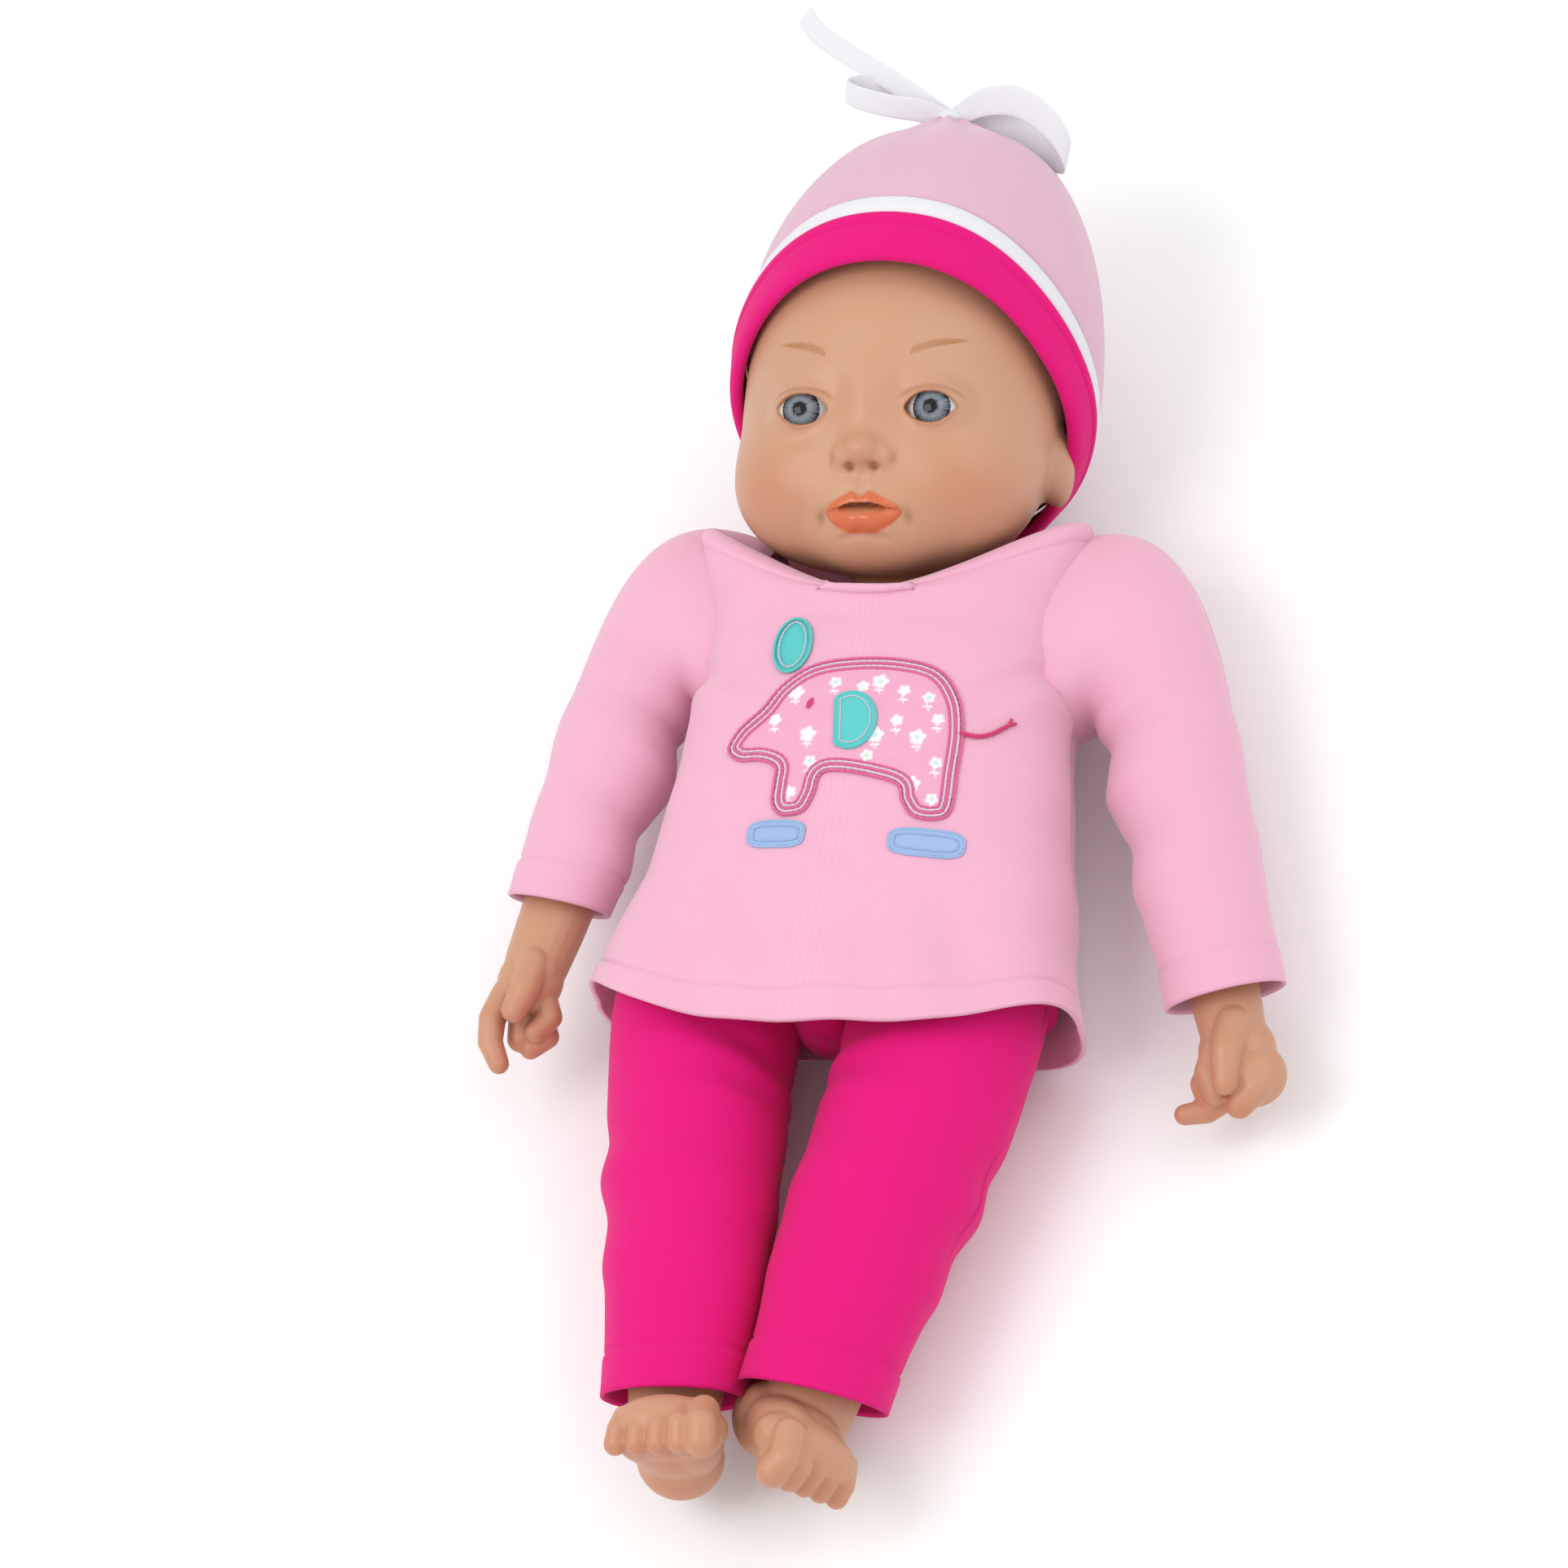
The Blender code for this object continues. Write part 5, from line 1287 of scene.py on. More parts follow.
# %% [markdown]
# The trousers go up under the top. That part is the body shape again, a little larger, in the colour
# of the trousers. It is hidden until a leg is raised.

# %% The waist of the trousers, which shows when a leg is raised
waist_y, waist_a = np.meshgrid(np.linspace(-0.0745, -0.0300, 16), TURN[::3], indexing="ij")
waist_table = (top_point(waist_y, waist_a) - middle) * np.array([0.945, 1.0, 0.925]) + middle
waist_uv = np.stack([waist_a * 0.05, waist_y], axis=-1)
waist = surface(
    "waist_cloth", waist_table, uv=waist_uv, flip=facing(waist_table), close_first=True, close_last=True
)
dressed(waist, HOT_PINK, "hot_pink_jersey", "torso")
print("the waist has", len(waist.data.polygons), "faces")

# %% [markdown]
# The seat joins the two legs. It is a rounded sack whose radius grows from its lower end as a power of
# a sine, which gives a blunt end.

# %% The seat between the legs
seat_rows, seat_cols = np.meshgrid(
    np.linspace(0, 1, 40), np.linspace(0, 2 * math.pi, 80, endpoint=False), indexing="ij"
)
swell = np.sin(np.clip(seat_rows, 0, 1) * math.pi * 0.5) ** 0.6
seat_y = -0.0420 - 0.0480 * np.cos(seat_rows * math.pi * 0.5) 
seat_x = -0.006 + (0.0170 * swell) * np.cos(seat_cols)
seat_z = 0.0340 + (0.0270 * swell + 0.0006 * np.sin(9 * seat_cols) * swell) * np.sin(seat_cols)
seat_table = np.stack([seat_x, seat_y, seat_z], axis=-1)
seat_uv = np.stack([seat_cols * 0.02, seat_rows * 0.05], axis=-1)
seat = surface("seat_cloth", seat_table, uv=seat_uv, flip=facing(seat_table), close_first=True)
dressed(seat, HOT_PINK, "hot_pink_jersey", "torso", "trouser_seat")
print("the seat has", len(seat.data.polygons), "faces")

# %% [markdown]
# ## The appliqué
# A plump, friendly elephant is sewn on the front. Its outline is a smooth closed curve through a few
# chosen points. Ropes of chain stitch follow the outline, and a printed cloth with blossoms fills it.


# %% A smooth closed curve, and cords along curves
def smooth_curve(points, steps, closed=True):
    """Catmull-Rom: 0.5 (2b + (c-a)t + (2a-5b+4c-d)t^2 + (3b-a-3c+d)t^3) between each b and c."""
    p = np.asarray(points, float)
    n = len(p)
    if closed:
        a, b, c, d = (np.roll(p, shift, axis=0) for shift in (1, 0, -1, -2))
    else:
        a, b, c, d = (
            p[np.maximum(np.arange(n - 1) - 1, 0)],
            p[:-1],
            p[1:],
            p[np.minimum(np.arange(n - 1) + 2, n - 1)],
        )
    t = np.linspace(0, 1, steps, endpoint=False)[None, :, None]
    a, b, c, d = a[:, None], b[:, None], c[:, None], d[:, None]
    curve = 0.5 * (2 * b + (c - a) * t + (2 * a - 5 * b + 4 * c - d) * t**2 + (3 * b - a - 3 * c + d) * t**3)
    curve = curve.reshape(-1, p.shape[1])
    return curve if closed else np.vstack([curve, p[-1:]])


def even(curve, step_length, closed=True):
    """The same curve at even steps of length."""
    whole = np.vstack([curve, curve[:1]]) if closed else curve
    arc = np.concatenate([[0], np.cumsum(np.linalg.norm(np.diff(whole, axis=0), axis=1))])
    count = max(4, int(arc[-1] / step_length))
    at = np.linspace(0, arc[-1], count, endpoint=not closed)
    return np.stack([np.interp(at, arc, whole[:, k]) for k in range(whole.shape[1])], axis=1)


FRONT_Y = np.linspace(-0.060, 0.048, 120)
FRONT_TABLE = top_point(*np.meshgrid(FRONT_Y, np.linspace(0.12, math.pi - 0.12, 160), indexing="ij"))


print("curve helpers ready")

# %% Points laid on the front of the top, and cords along them
def on_front(points, lift):
    """A flat drawing laid on the front of the top: its height there, plus lift."""
    points = np.asarray(points, float)
    x, y = points[..., 0], points[..., 1]
    row = np.clip(np.interp(y, FRONT_Y, np.arange(len(FRONT_Y))), 0, len(FRONT_Y) - 1.001)
    i = row.astype(int)
    f = row - i
    flat_x, flat_i = x.ravel(), i.ravel()
    heights = []
    for offset in (0, 1):
        table = FRONT_TABLE[np.clip(flat_i + offset, 0, len(FRONT_Y) - 1)]
        gaps = table[:, :, 0] - flat_x[:, None]
        k = np.clip((gaps > 0).sum(axis=1), 1, table.shape[1] - 1)
        r = np.arange(len(flat_x))
        x0, x1 = table[r, k - 1, 0], table[r, k, 0]
        z0, z1 = table[r, k - 1, 2], table[r, k, 2]
        heights.append(z0 + (z1 - z0) * (flat_x - x0) / (x1 - x0))
    z = (heights[0] * (1 - f.ravel()) + heights[1] * f.ravel()).reshape(x.shape)
    return np.stack([x, y, z + lift], axis=-1)


def cord(
    name, line, radius, material, slot, body, nodes, closed=True, beads=0.0022, depth=0.35, flat=1.0,
    lift=0.0003,
):
    """A stitched cord along a drawing: its radius is r (1 - depth + depth |sin|) along its length."""
    line = even(line, 0.00045, closed)
    path = on_front(line, lift)
    tangent = np.roll(path, -1, axis=0) - np.roll(path, 1, axis=0) if closed else np.gradient(path, axis=0)
    tangent /= np.linalg.norm(tangent, axis=1, keepdims=True)
    out = np.array([0, 0, 1.0]) - tangent * tangent[:, 2:3]
    out /= np.linalg.norm(out, axis=1, keepdims=True)
    side = np.cross(tangent, out)
    arc = np.arange(len(path)) * 0.00045
    thick = radius * (1 - depth + depth * np.abs(np.sin(arc * math.pi / beads)))
    a = np.linspace(0, 2 * math.pi, 9, endpoint=False)
    table = (
        path[:, None]
        + (side[:, None] * np.cos(a)[None, :, None] + out[:, None] * np.sin(a)[None, :, None] * flat)
        * thick[:, None, None]
    )
    if closed:
        table = np.vstack([table, table[:1]])
    piece = surface(name, table, flip=facing(table), close_first=not closed, close_last=not closed)
    return dressed(piece, material, slot, body, *nodes)


print("cord helpers ready")

# %% The threads
def thread(name, colour, darker):
    """Shiny embroidery thread: fine diagonal strands in the bump, with a colour that is darker in the grooves
    between them, which is painted shade.
    """
    material, tree, shader = new_material(name)
    wave = add(tree, "ShaderNodeTexWave", Scale=900.0, Distortion=2.0)
    wave.bands_direction = "DIAGONAL"
    coord = tree.nodes.new("ShaderNodeTexCoord").outputs["Object"]
    tree.links.new(coord, wave.inputs["Vector"])
    # The colour follows the strands: darker in the grooves between them, which is painted shade.
    tree.links.new(mix_colour(tree, wave.outputs["Fac"], darker, colour), shader.inputs["Base Color"])
    bumps = add(tree, "ShaderNodeBump", Strength=0.6, Distance=0.0002)
    tree.links.new(wave.outputs["Fac"], bumps.inputs["Height"])
    tree.links.new(bumps.outputs[0], shader.inputs["Normal"])
    shader.inputs["Roughness"].default_value = 0.5
    shader.inputs["Sheen Weight"].default_value = 0.2
    return material


ROPE = thread("rope_thread", (0.74, 0.13, 0.34), (0.60, 0.07, 0.22))
SILVER = thread("pale_thread", (0.76, 0.60, 0.68), (0.66, 0.44, 0.54))
TEAL = thread("teal_thread", (0.10, 0.62, 0.60), (0.05, 0.46, 0.45))
BLUE = thread("blue_thread", (0.36, 0.52, 0.76), (0.22, 0.36, 0.62))
RED = thread("deep_pink_thread", (0.70, 0.02, 0.16), (0.50, 0.01, 0.10))
PATCH_NODE = ("elephant_patch",)
print("five threads")

# %% The outline
outline = smooth_curve([
    (-0.0305, 0.0105), (-0.0250, 0.0190), (-0.0155, 0.0262), (0.0000, 0.0292), (0.0150, 0.0288),
    (0.0275, 0.0250),
    (0.0350, 0.0150), (0.0378, 0.0020), (0.0375, -0.0130), (0.0368, -0.0265), (0.0320, -0.0300),
    (0.0250, -0.0292),
    (0.0210, -0.0240), (0.0190, -0.0185), (0.0100, -0.0155), (-0.0020, -0.0135), (-0.0075, -0.0150),
    (-0.0090, -0.0220),
    (-0.0120, -0.0280), (-0.0190, -0.0290), (-0.0225, -0.0250), (-0.0228, -0.0175), (-0.0232, -0.0115),
    (-0.0290, -0.0085),
    (-0.0368, -0.0075), (-0.0412, -0.0030), (-0.0382, 0.0035),
], 12)
outline = even(outline + np.array([0.0005, 0.0]), 0.0005)
print("the outline has", len(outline), "points")


def inset(curve, distance):
    """The curve moved inwards along its own normal."""
    tangent = np.roll(curve, -3, axis=0) - np.roll(curve, 3, axis=0)
    tangent /= np.linalg.norm(tangent, axis=1, keepdims=True)
    return curve + distance * np.stack([tangent[:, 1], -tangent[:, 0]], axis=1)


def inside_of(curve, points):
    """True for the points inside a closed curve: an odd number of edges to one side."""
    x, y = points[..., 0].ravel()[:, None], points[..., 1].ravel()[:, None]
    a, b = curve, np.roll(curve, -1, axis=0)
    crosses = (a[None, :, 1] > y) != (b[None, :, 1] > y)
    reach = (
        a[None, :, 0]
        + (y - a[None, :, 1]) * (b - a)[None, :, 0] / np.where(
            np.abs((b - a)[:, 1]) < 1e-9, 1e-9, (b - a)[:, 1]
        )[None]
    )
    return ((crosses & (x < reach)).sum(axis=1) % 2 == 1).reshape(points.shape[:-1])


def cut_cloth(name, curve, lift, grid=0.00040):
    """A fine grid of the front, kept only inside a closed curve."""
    low, high = curve.min(axis=0) - grid, curve.max(axis=0) + grid
    gx, gy = np.meshgrid(np.arange(low[0], high[0], grid), np.arange(low[1], high[1], grid))
    flat = np.stack([gx, gy], axis=-1)
    kept = inside_of(curve[::3], flat)
    points = on_front(flat, lift)
    faces_kept = kept[:-1, :-1] & kept[1:, :-1] & kept[:-1, 1:] & kept[1:, 1:]
    index = np.arange(gx.size).reshape(gx.shape)
    quads = np.stack([index[:-1, :-1], index[:-1, 1:], index[1:, 1:], index[1:, :-1]], axis=-1)[faces_kept]
    used, compact = np.unique(quads, return_inverse=True)
    mesh = bpy.data.meshes.new(name)
    mesh.from_pydata(points.reshape(-1, 3)[used].tolist(), [], compact.reshape(-1, 4).tolist())
    mesh.shade_smooth()
    piece = bpy.data.objects.new(name, mesh)
    bpy.context.scene.collection.objects.link(piece)
    return piece, flat.reshape(-1, 2)[used]


# %% The printed cloth that fills the outline
fill, at = cut_cloth("printed_cloth", inset(outline, 0.0005), 0.0005)
blossoms = [
    (-0.0190, 0.0160), (-0.0060, 0.0195), (0.0035, 0.0180), (0.0090, 0.0200), (0.0175, 0.0165),
    (0.0260, 0.0140), (-0.0130, 0.0000), (-0.0110, -0.0100), (0.0165, 0.0050), (0.0240, -0.0010),
    (0.0300, 0.0060), (0.0080, -0.0080), (0.0240, -0.0180), (0.0310, -0.0230), (-0.0165, -0.0210),
    (0.0100, -0.0005), (-0.0250, 0.0060), (0.0310, -0.0100),
]
white_part, centre_part = np.zeros(len(at)), np.zeros(len(at))
for number, (bx, by) in enumerate(blossoms):
    dx, dy = at[:, 0] - bx, at[:, 1] - by
    reach, bearing = np.hypot(dx, dy), np.arctan2(dy, dx)
    petals = 0.00270 * (0.68 + 0.32 * np.abs(np.cos(2.5 * bearing + number))) * (0.85 if number % 3 else 1.1)
    white_part = np.maximum(white_part, 1 - step(petals - 0.0003, petals + 0.0002, reach))
    centre_part = np.maximum(centre_part, (1 - step(0.0006, 0.0010, reach)) * (number % 2))
    stem = (np.abs(dx - 0.0004 * np.sin(dy * 900)) < 0.00028) & (dy < -0.0018) & (dy > -0.0052)
    leaf = np.hypot((np.abs(dx) - 0.0009) / 0.0008, (dy + 0.0036) / 0.0005) < 1
    white_part = np.maximum(white_part, 0.9 * (stem | leaf))
share(fill, "print", white_part)
share(fill, "centre", centre_part)
cloth, tree, shader = new_material("printed_cloth")
ground = mix_colour(tree, noise(tree, 200.0), (0.74, 0.355, 0.50), (0.68, 0.31, 0.45))
printed = mix_colour(tree, attribute(tree, "print"), ground, (0.74, 0.72, 0.75))
spots = mix_colour(tree, noise(tree, 60.0, 0.0), (0.35, 0.60, 0.85), (0.62, 0.74, 0.36))
tree.links.new(mix_colour(tree, attribute(tree, "centre"), printed, spots), shader.inputs["Base Color"])
shader.inputs["Roughness"].default_value = 0.85
weave = add(tree, "ShaderNodeBump", Strength=0.3, Distance=0.0001)
tree.links.new(noise(tree, 1500.0), weave.inputs["Height"])
tree.links.new(weave.outputs[0], shader.inputs["Normal"])
dressed(fill, cloth, "applique", "torso", *PATCH_NODE)
print("the printed cloth has", len(fill.data.polygons), "faces")

# %% The ropes round it, the ears, the eye, the feet and the tail
for number, (distance, radius, finish) in enumerate(
    (
        (0.0, 0.00062, ROPE), (0.0012, 0.00050, SILVER), (0.0022, 0.00055, ROPE), (0.0032, 0.00046, SILVER),
        (0.0041, 0.00048, ROPE),
    )
):
    cord(
        f"rope_{number}", inset(outline, distance), radius, finish, "applique", "torso", PATCH_NODE,
        lift=0.0006,
    )


def oval(cx, cy, rx, ry, lean=0.0, cut=None, power=1.0):
    """An oval (cx + rx cos^p, cy + ry sin^p), leaned by an angle; a small p makes it boxy."""
    a = np.linspace(0, 2 * math.pi, 60, endpoint=False)
    x, y = (r * np.sign(w) * np.abs(w) ** power for r, w in ((rx, np.cos(a)), (ry, np.sin(a))))
    if cut is not None:
        x = np.maximum(x, cut)
    c, s = math.cos(lean), math.sin(lean)
    return np.stack([cx + c * x - s * y, cy + s * x + c * y], axis=1)[::-1]


shapes = {
    "far_ear": (oval(-0.0235, 0.0355, 0.0066, 0.0108, 0.04), TEAL),
    "near_ear": (oval(0.0010, 0.0050, 0.0085, 0.0105, 0.10, -0.0052), TEAL),
    "front_foot": (oval(-0.0195, -0.0360, 0.0095, 0.0044, -0.03, power=0.55), BLUE),
    "back_foot": (oval(0.0308, -0.0385, 0.0122, 0.0044, -0.02, power=0.55), BLUE),
    "tear_eye": (oval(-0.0135, 0.0112, 0.0013, 0.0026, -0.35), RED),
}
for name, (shape, finish) in shapes.items():
    fine = even(shape, 0.0004)
    patch, _ = cut_cloth(name, inset(fine, 0.0001), 0.0011 if name != "far_ear" else 0.0004, 0.00035)
    dressed(patch, finish, "applique", "torso", *PATCH_NODE)
    if name == "tear_eye":
        continue
    cord(f"{name}_edge", fine, 0.00055, finish, "applique", "torso", PATCH_NODE, beads=0.0012, lift=0.0009)
    inner_finish = SILVER if finish is TEAL else finish
    cord(
        f"{name}_stitches", inset(fine, 0.0018), 0.00028, inner_finish, "applique", "torso", PATCH_NODE,
        beads=0.0016, depth=0.7, lift=0.0013,
    )
tail = smooth_curve(
    [(0.0375, 0.0015), (0.0430, 0.0012), (0.0475, 0.0035), (0.0520, 0.0085)], 10, closed=False
)
cord(
    "tail_cord", tail, 0.00085, RED, "applique", "torso", PATCH_NODE, closed=False, beads=0.0016,
    lift=0.0010,
)
for lean, name in ((0.5, "tail_end_a"), (-0.3, "tail_end_b")):
    end = smooth_curve(
        [
            (0.0520, 0.0085),
            (0.0520 + 0.0022 * math.cos(0.9 + lean), 0.0085 + 0.0024 * math.sin(0.9 + lean)),
        ],
        6,
        closed=False,
    )
    cord(name, end, 0.0006, RED, "applique", "torso", PATCH_NODE, closed=False, lift=0.0010)
print("appliqué sewn on")

# %% [markdown]
# ## Hands and feet
# A hand is built from round lobes: tapered capsules for the wrist, the palm and each finger. A voxel
# remesh joins the lobes into one skin, a few smoothing steps round the joins off, and the result is
# then tinted by distance from the knuckles and the toes.


# %% Lobes joined into one skin
def capsule(first, last, r1, r2, squeeze=1.0, rows=14, columns=20):
    """A tapered capsule between two points: radius from r1 to r2, with a round cap at each end."""
    a, b = np.asarray(first, float), np.asarray(last, float)
    axis = b - a
    length = np.linalg.norm(axis)
    axis = axis / length
    side = np.cross(axis, [0.0, 0.0, 1.0] if abs(axis[2]) < 0.9 else [1.0, 0.0, 0.0])
    side /= np.linalg.norm(side)
    other = np.cross(axis, side)
    t = np.linspace(0.06, math.pi / 2, rows // 2)
    heights = np.concatenate(
        [-r1 * np.cos(t), length + r2 * np.sin(np.linspace(0, math.pi / 2 - 0.06, rows // 2))]
    )
    radii = np.concatenate([r1 * np.sin(t), r2 * np.cos(np.linspace(0, math.pi / 2 - 0.06, rows // 2))])
    turn = np.linspace(0, 2 * math.pi, columns, endpoint=False)[None, :, None]
    ring = side * np.cos(turn) + other * np.sin(turn) * squeeze
    return a + axis * heights[:, None, None] + ring * radii[:, None, None]


def lump(centre, radii, rows=16, columns=24):
    """An ellipsoid as a table of points."""
    t = np.linspace(0.06, math.pi - 0.06, rows)[:, None]
    turn = np.linspace(0, 2 * math.pi, columns, endpoint=False)[None, :]
    unit = np.stack([np.sin(t) * np.cos(turn), np.cos(t) + 0 * turn, np.sin(t) * np.sin(turn)], axis=-1)
    return np.asarray(centre) + unit * np.asarray(radii)


print("capsules and lumps ready")

# %% Joining the lobes
def skin_over(name, tables, voxel, rounds):
    """One closed skin over many lobes: joined, remeshed in voxels and smoothed."""
    pieces = [
        surface(f"{name}_{k}", table, flip=facing(table), close_first=True, close_last=True)
        for k, table in enumerate(tables)
    ]
    points, faces = [], []
    for piece in pieces:
        base = sum(len(p) for p in points)
        points.append(np.array([v.co[:] for v in piece.data.vertices]))
        faces += [[base + v for v in polygon.vertices] for polygon in piece.data.polygons]
        bpy.data.objects.remove(piece)
    mesh = bpy.data.meshes.new(name)
    mesh.from_pydata(np.vstack(points).tolist(), [], faces)
    piece = bpy.data.objects.new(name, mesh)
    bpy.context.scene.collection.objects.link(piece)
    remesh = piece.modifiers.new("one_skin", "REMESH")
    remesh.mode, remesh.voxel_size, remesh.adaptivity = "VOXEL", voxel, 0.0
    relax = piece.modifiers.new("rounded", "SMOOTH")
    relax.factor, relax.iterations = 0.5, rounds
    bpy.context.view_layer.update()
    done = bpy.data.meshes.new_from_object(piece.evaluated_get(bpy.context.evaluated_depsgraph_get()))
    piece.modifiers.clear()
    piece.data = done
    done.shade_smooth()
    flat = np.zeros(len(done.vertices) * 3)
    done.vertices.foreach_get("co", flat)
    return piece, flat.reshape(-1, 3)


def nearest(points, spots):
    """The distance from each point to the nearest of some spots."""
    spots = np.asarray(spots)
    return np.linalg.norm(points[:, None] - spots[None], axis=2).min(axis=1)


print("lobe helpers ready")

# %% Hands: the right one lets one finger hang, the left one is a loose fist under its thumb
def chain(spots, radii):
    """Tapered capsules from each spot to the next."""
    return [capsule(spots[k], spots[k + 1], radii[k], radii[k + 1]) for k in range(len(spots) - 1)]


for word, side, reach in (("right", -1, 0.0), ("left", 1, 0.016)):
    o = side  # towards the outer side of the arm
    lobes = chain([(0, -0.100, 0), (0, -0.136, 0), (0, -0.149, 0.0003)], (0.0130, 0.0116, 0.0108))
    if word == "right":
        lobes += [
            lump((0, -0.1555, 0.0), (0.0112, 0.0125, 0.0098)),
            lump((-o * 0.0030, -0.1520, 0.0040), (0.0070, 0.0090, 0.0060)),
        ]
        fingers = [
            (
                [
                    (o * 0.0055, -0.1620, 0.0020), (o * 0.0072, -0.1720, 0.0024),
                    (o * 0.0056, -0.1800, 0.0010), (o * 0.0010, -0.1862, -0.0015),
                ],
                (0.0052, 0.0046, 0.0042, 0.0035),
            ),
            (
                [
                    (-o * 0.0020, -0.1520, 0.0072),
                    (-o * 0.0032, -0.1630, 0.0086),
                    (-o * 0.0016, -0.1702, 0.0076),
                ],
                (0.0056, 0.0051, 0.0044),
            ),
            (
                [
                    (-o * 0.0050, -0.1590, -0.0005),
                    (-o * 0.0102, -0.1660, -0.0022),
                    (-o * 0.0070, -0.1722, -0.0022),
                ],
                (0.0050, 0.0042, 0.0038),
            ),
            (
                [
                    (-o * 0.0030, -0.1620, -0.0060),
                    (-o * 0.0092, -0.1706, -0.0078),
                    (-o * 0.0050, -0.1760, -0.0078),
                ],
                (0.0048, 0.0040, 0.0036),
            ),
            ([(o * 0.0005, -0.1640, -0.0040), (-o * 0.0010, -0.1740, -0.0060)], (0.0052, 0.0044)),
        ]
    else:
        lobes += [
            lump((0, -0.1560, 0.0), (0.0128, 0.0130, 0.0102)),
            lump((o * 0.0035, -0.1650, -0.0005), (0.0108, 0.0105, 0.0100)),
        ]
        fingers = [
            (
                [
                    (o * 0.0010, -0.1490, 0.0070),
                    (-o * 0.0026, -0.1600, 0.0102),
                    (-o * 0.0052, -0.1692, 0.0090),
                ],
                (0.0060, 0.0055, 0.0045),
            ),
            (
                [
                    (-o * 0.0060, -0.1550, 0.0040),
                    (-o * 0.0105, -0.1620, 0.0035),
                    (-o * 0.0098, -0.1690, 0.0020),
                ],
                (0.0048, 0.0044, 0.0042),
            ),
            (
                [
                    (-o * 0.0070, -0.1560, -0.0010),
                    (-o * 0.0132, -0.1632, -0.0020),
                    (-o * 0.0124, -0.1700, -0.0034),
                ],
                (0.0047, 0.0042, 0.0040),
            ),
            (
                [
                    (-o * 0.0060, -0.1680, -0.0040),
                    (-o * 0.0140, -0.1712, -0.0052),
                    (-o * 0.0212, -0.1706, -0.0050),
                ],
                (0.0048, 0.0040, 0.0035),
            ),
            ([(o * 0.0040, -0.1700, 0.0030), (-o * 0.0030, -0.1746, 0.0010)], (0.0056, 0.0046)),
        ]
    for spots, radii in fingers:
        lobes += chain(spots, radii)
    ends = np.array([spots[-1] for spots, _ in fingers])
    middles = np.array([spots[1] for spots, _ in fingers])
    move = np.array([0, -reach, 0])
    placed = [from_limb(ARM[word], lobe + move) for lobe in lobes]
    hand, at = skin_over(f"hand_{word}", placed, 0.00060, 4)
    ends, middles = from_limb(ARM[word], ends + move), from_limb(ARM[word], middles + move)
    share(
        hand,
        "blush",
        np.clip(
            0.30 * bump(nearest(at, middles), 0.0050) + 0.45 * bump(nearest(at, ends), 0.0045) + 0.18, 0, 1
        ),
    )
    dressed(hand, VINYL, "vinyl_skin", f"arm_{word}", f"forearm_{word}")
    print("hand", word, len(hand.data.polygons), "faces")

# %% Feet: the right one stands toes up, the left one has fallen outwards and points down a little
for word, side, roll, drop in (("right", -1, -6, 0), ("left", 1, 50, 24)):
    inner = -side
    turn_foot = turned_about("x", drop) @ turned_about("y", side * roll)
    pivot = np.array([0, -0.156, 0.0])
    lobes = chain([(0, -0.110, 0), (0, -0.140, 0), (0, -0.155, 0)], (0.0168, 0.0152, 0.0136))
    foot = [
        lump((0, -0.1590, -0.0095), (0.0140, 0.0130, 0.0148)),
        lump((0, -0.1590, 0.0050), (0.0150, 0.0120, 0.0205)),
        lump((inner * 0.0010, -0.1615, 0.0190), (0.0186, 0.0100, 0.0130)),
        lump((inner * 0.0075, -0.1600, 0.0100), (0.0090, 0.0105, 0.0185)),
        lump((inner * 0.0085, -0.1650, 0.0205), (0.0080, 0.0068, 0.0080)),
        lump((-inner * 0.0075, -0.1645, 0.0165), (0.0085, 0.0066, 0.0100)),
    ]
    ends = []
    for n in range(5):
        x = inner * (0.0134 - 0.0068 * n)
        r = (0.0054, 0.0043, 0.0041, 0.0039, 0.0037)[n]
        low_toe = np.array([x * 0.95, -0.1590, 0.0270 - 0.0014 * n])
        knuckle = np.array([x * 1.02, -0.1660 + 0.0003 * n, 0.0335 - 0.0022 * n + (0.0010 if n == 1 else 0)])
        tip = np.array([x * 1.05, -0.1712 + 0.0005 * n, 0.0322 - 0.0022 * n + (0.0008 if n == 1 else 0)])
        foot += chain([low_toe, knuckle, tip], (r * 0.95, r * 0.92, r))
        ends.append(tip)
    settle = np.array([-0.004, 0.004, 0.0]) if word == "left" else np.array([0.002, 0.0, 0.0])
    rolled = [(lobe - pivot) @ turn_foot + pivot + settle for lobe in foot]
    placed = [from_limb(LEG[word], lobe) for lobe in lobes + rolled]
    sole, at = skin_over(f"foot_{word}", placed, 0.00066, 4)
    toes = from_limb(LEG[word], (np.array(ends) - pivot) @ turn_foot + pivot + settle)
    heel = from_limb(
        LEG[word],
        (np.array([[0, -0.172, -0.010], [inner * 0.004, -0.172, 0.016]]) - pivot) @ turn_foot + pivot,
    )
    share(
        sole,
        "blush",
        np.clip(
            0.40 * bump(nearest(at, toes), 0.0055) + 0.35 * bump(nearest(at, heel), 0.0120) + 0.16, 0, 1
        ),
    )
    dressed(sole, VINYL, "vinyl_skin", f"leg_{word}", f"lower_leg_{word}")
    print("foot", word, len(sole.data.polygons), "faces")

# %% [markdown]
# The brows are drawn with single fine strokes of light brown paint, which fan upwards and outwards.

# %% Brow strokes
face = skin[(latitude > -0.6)[:, None] & (np.abs(longitude) < 1.1)[None, :]].reshape(-1, 3)


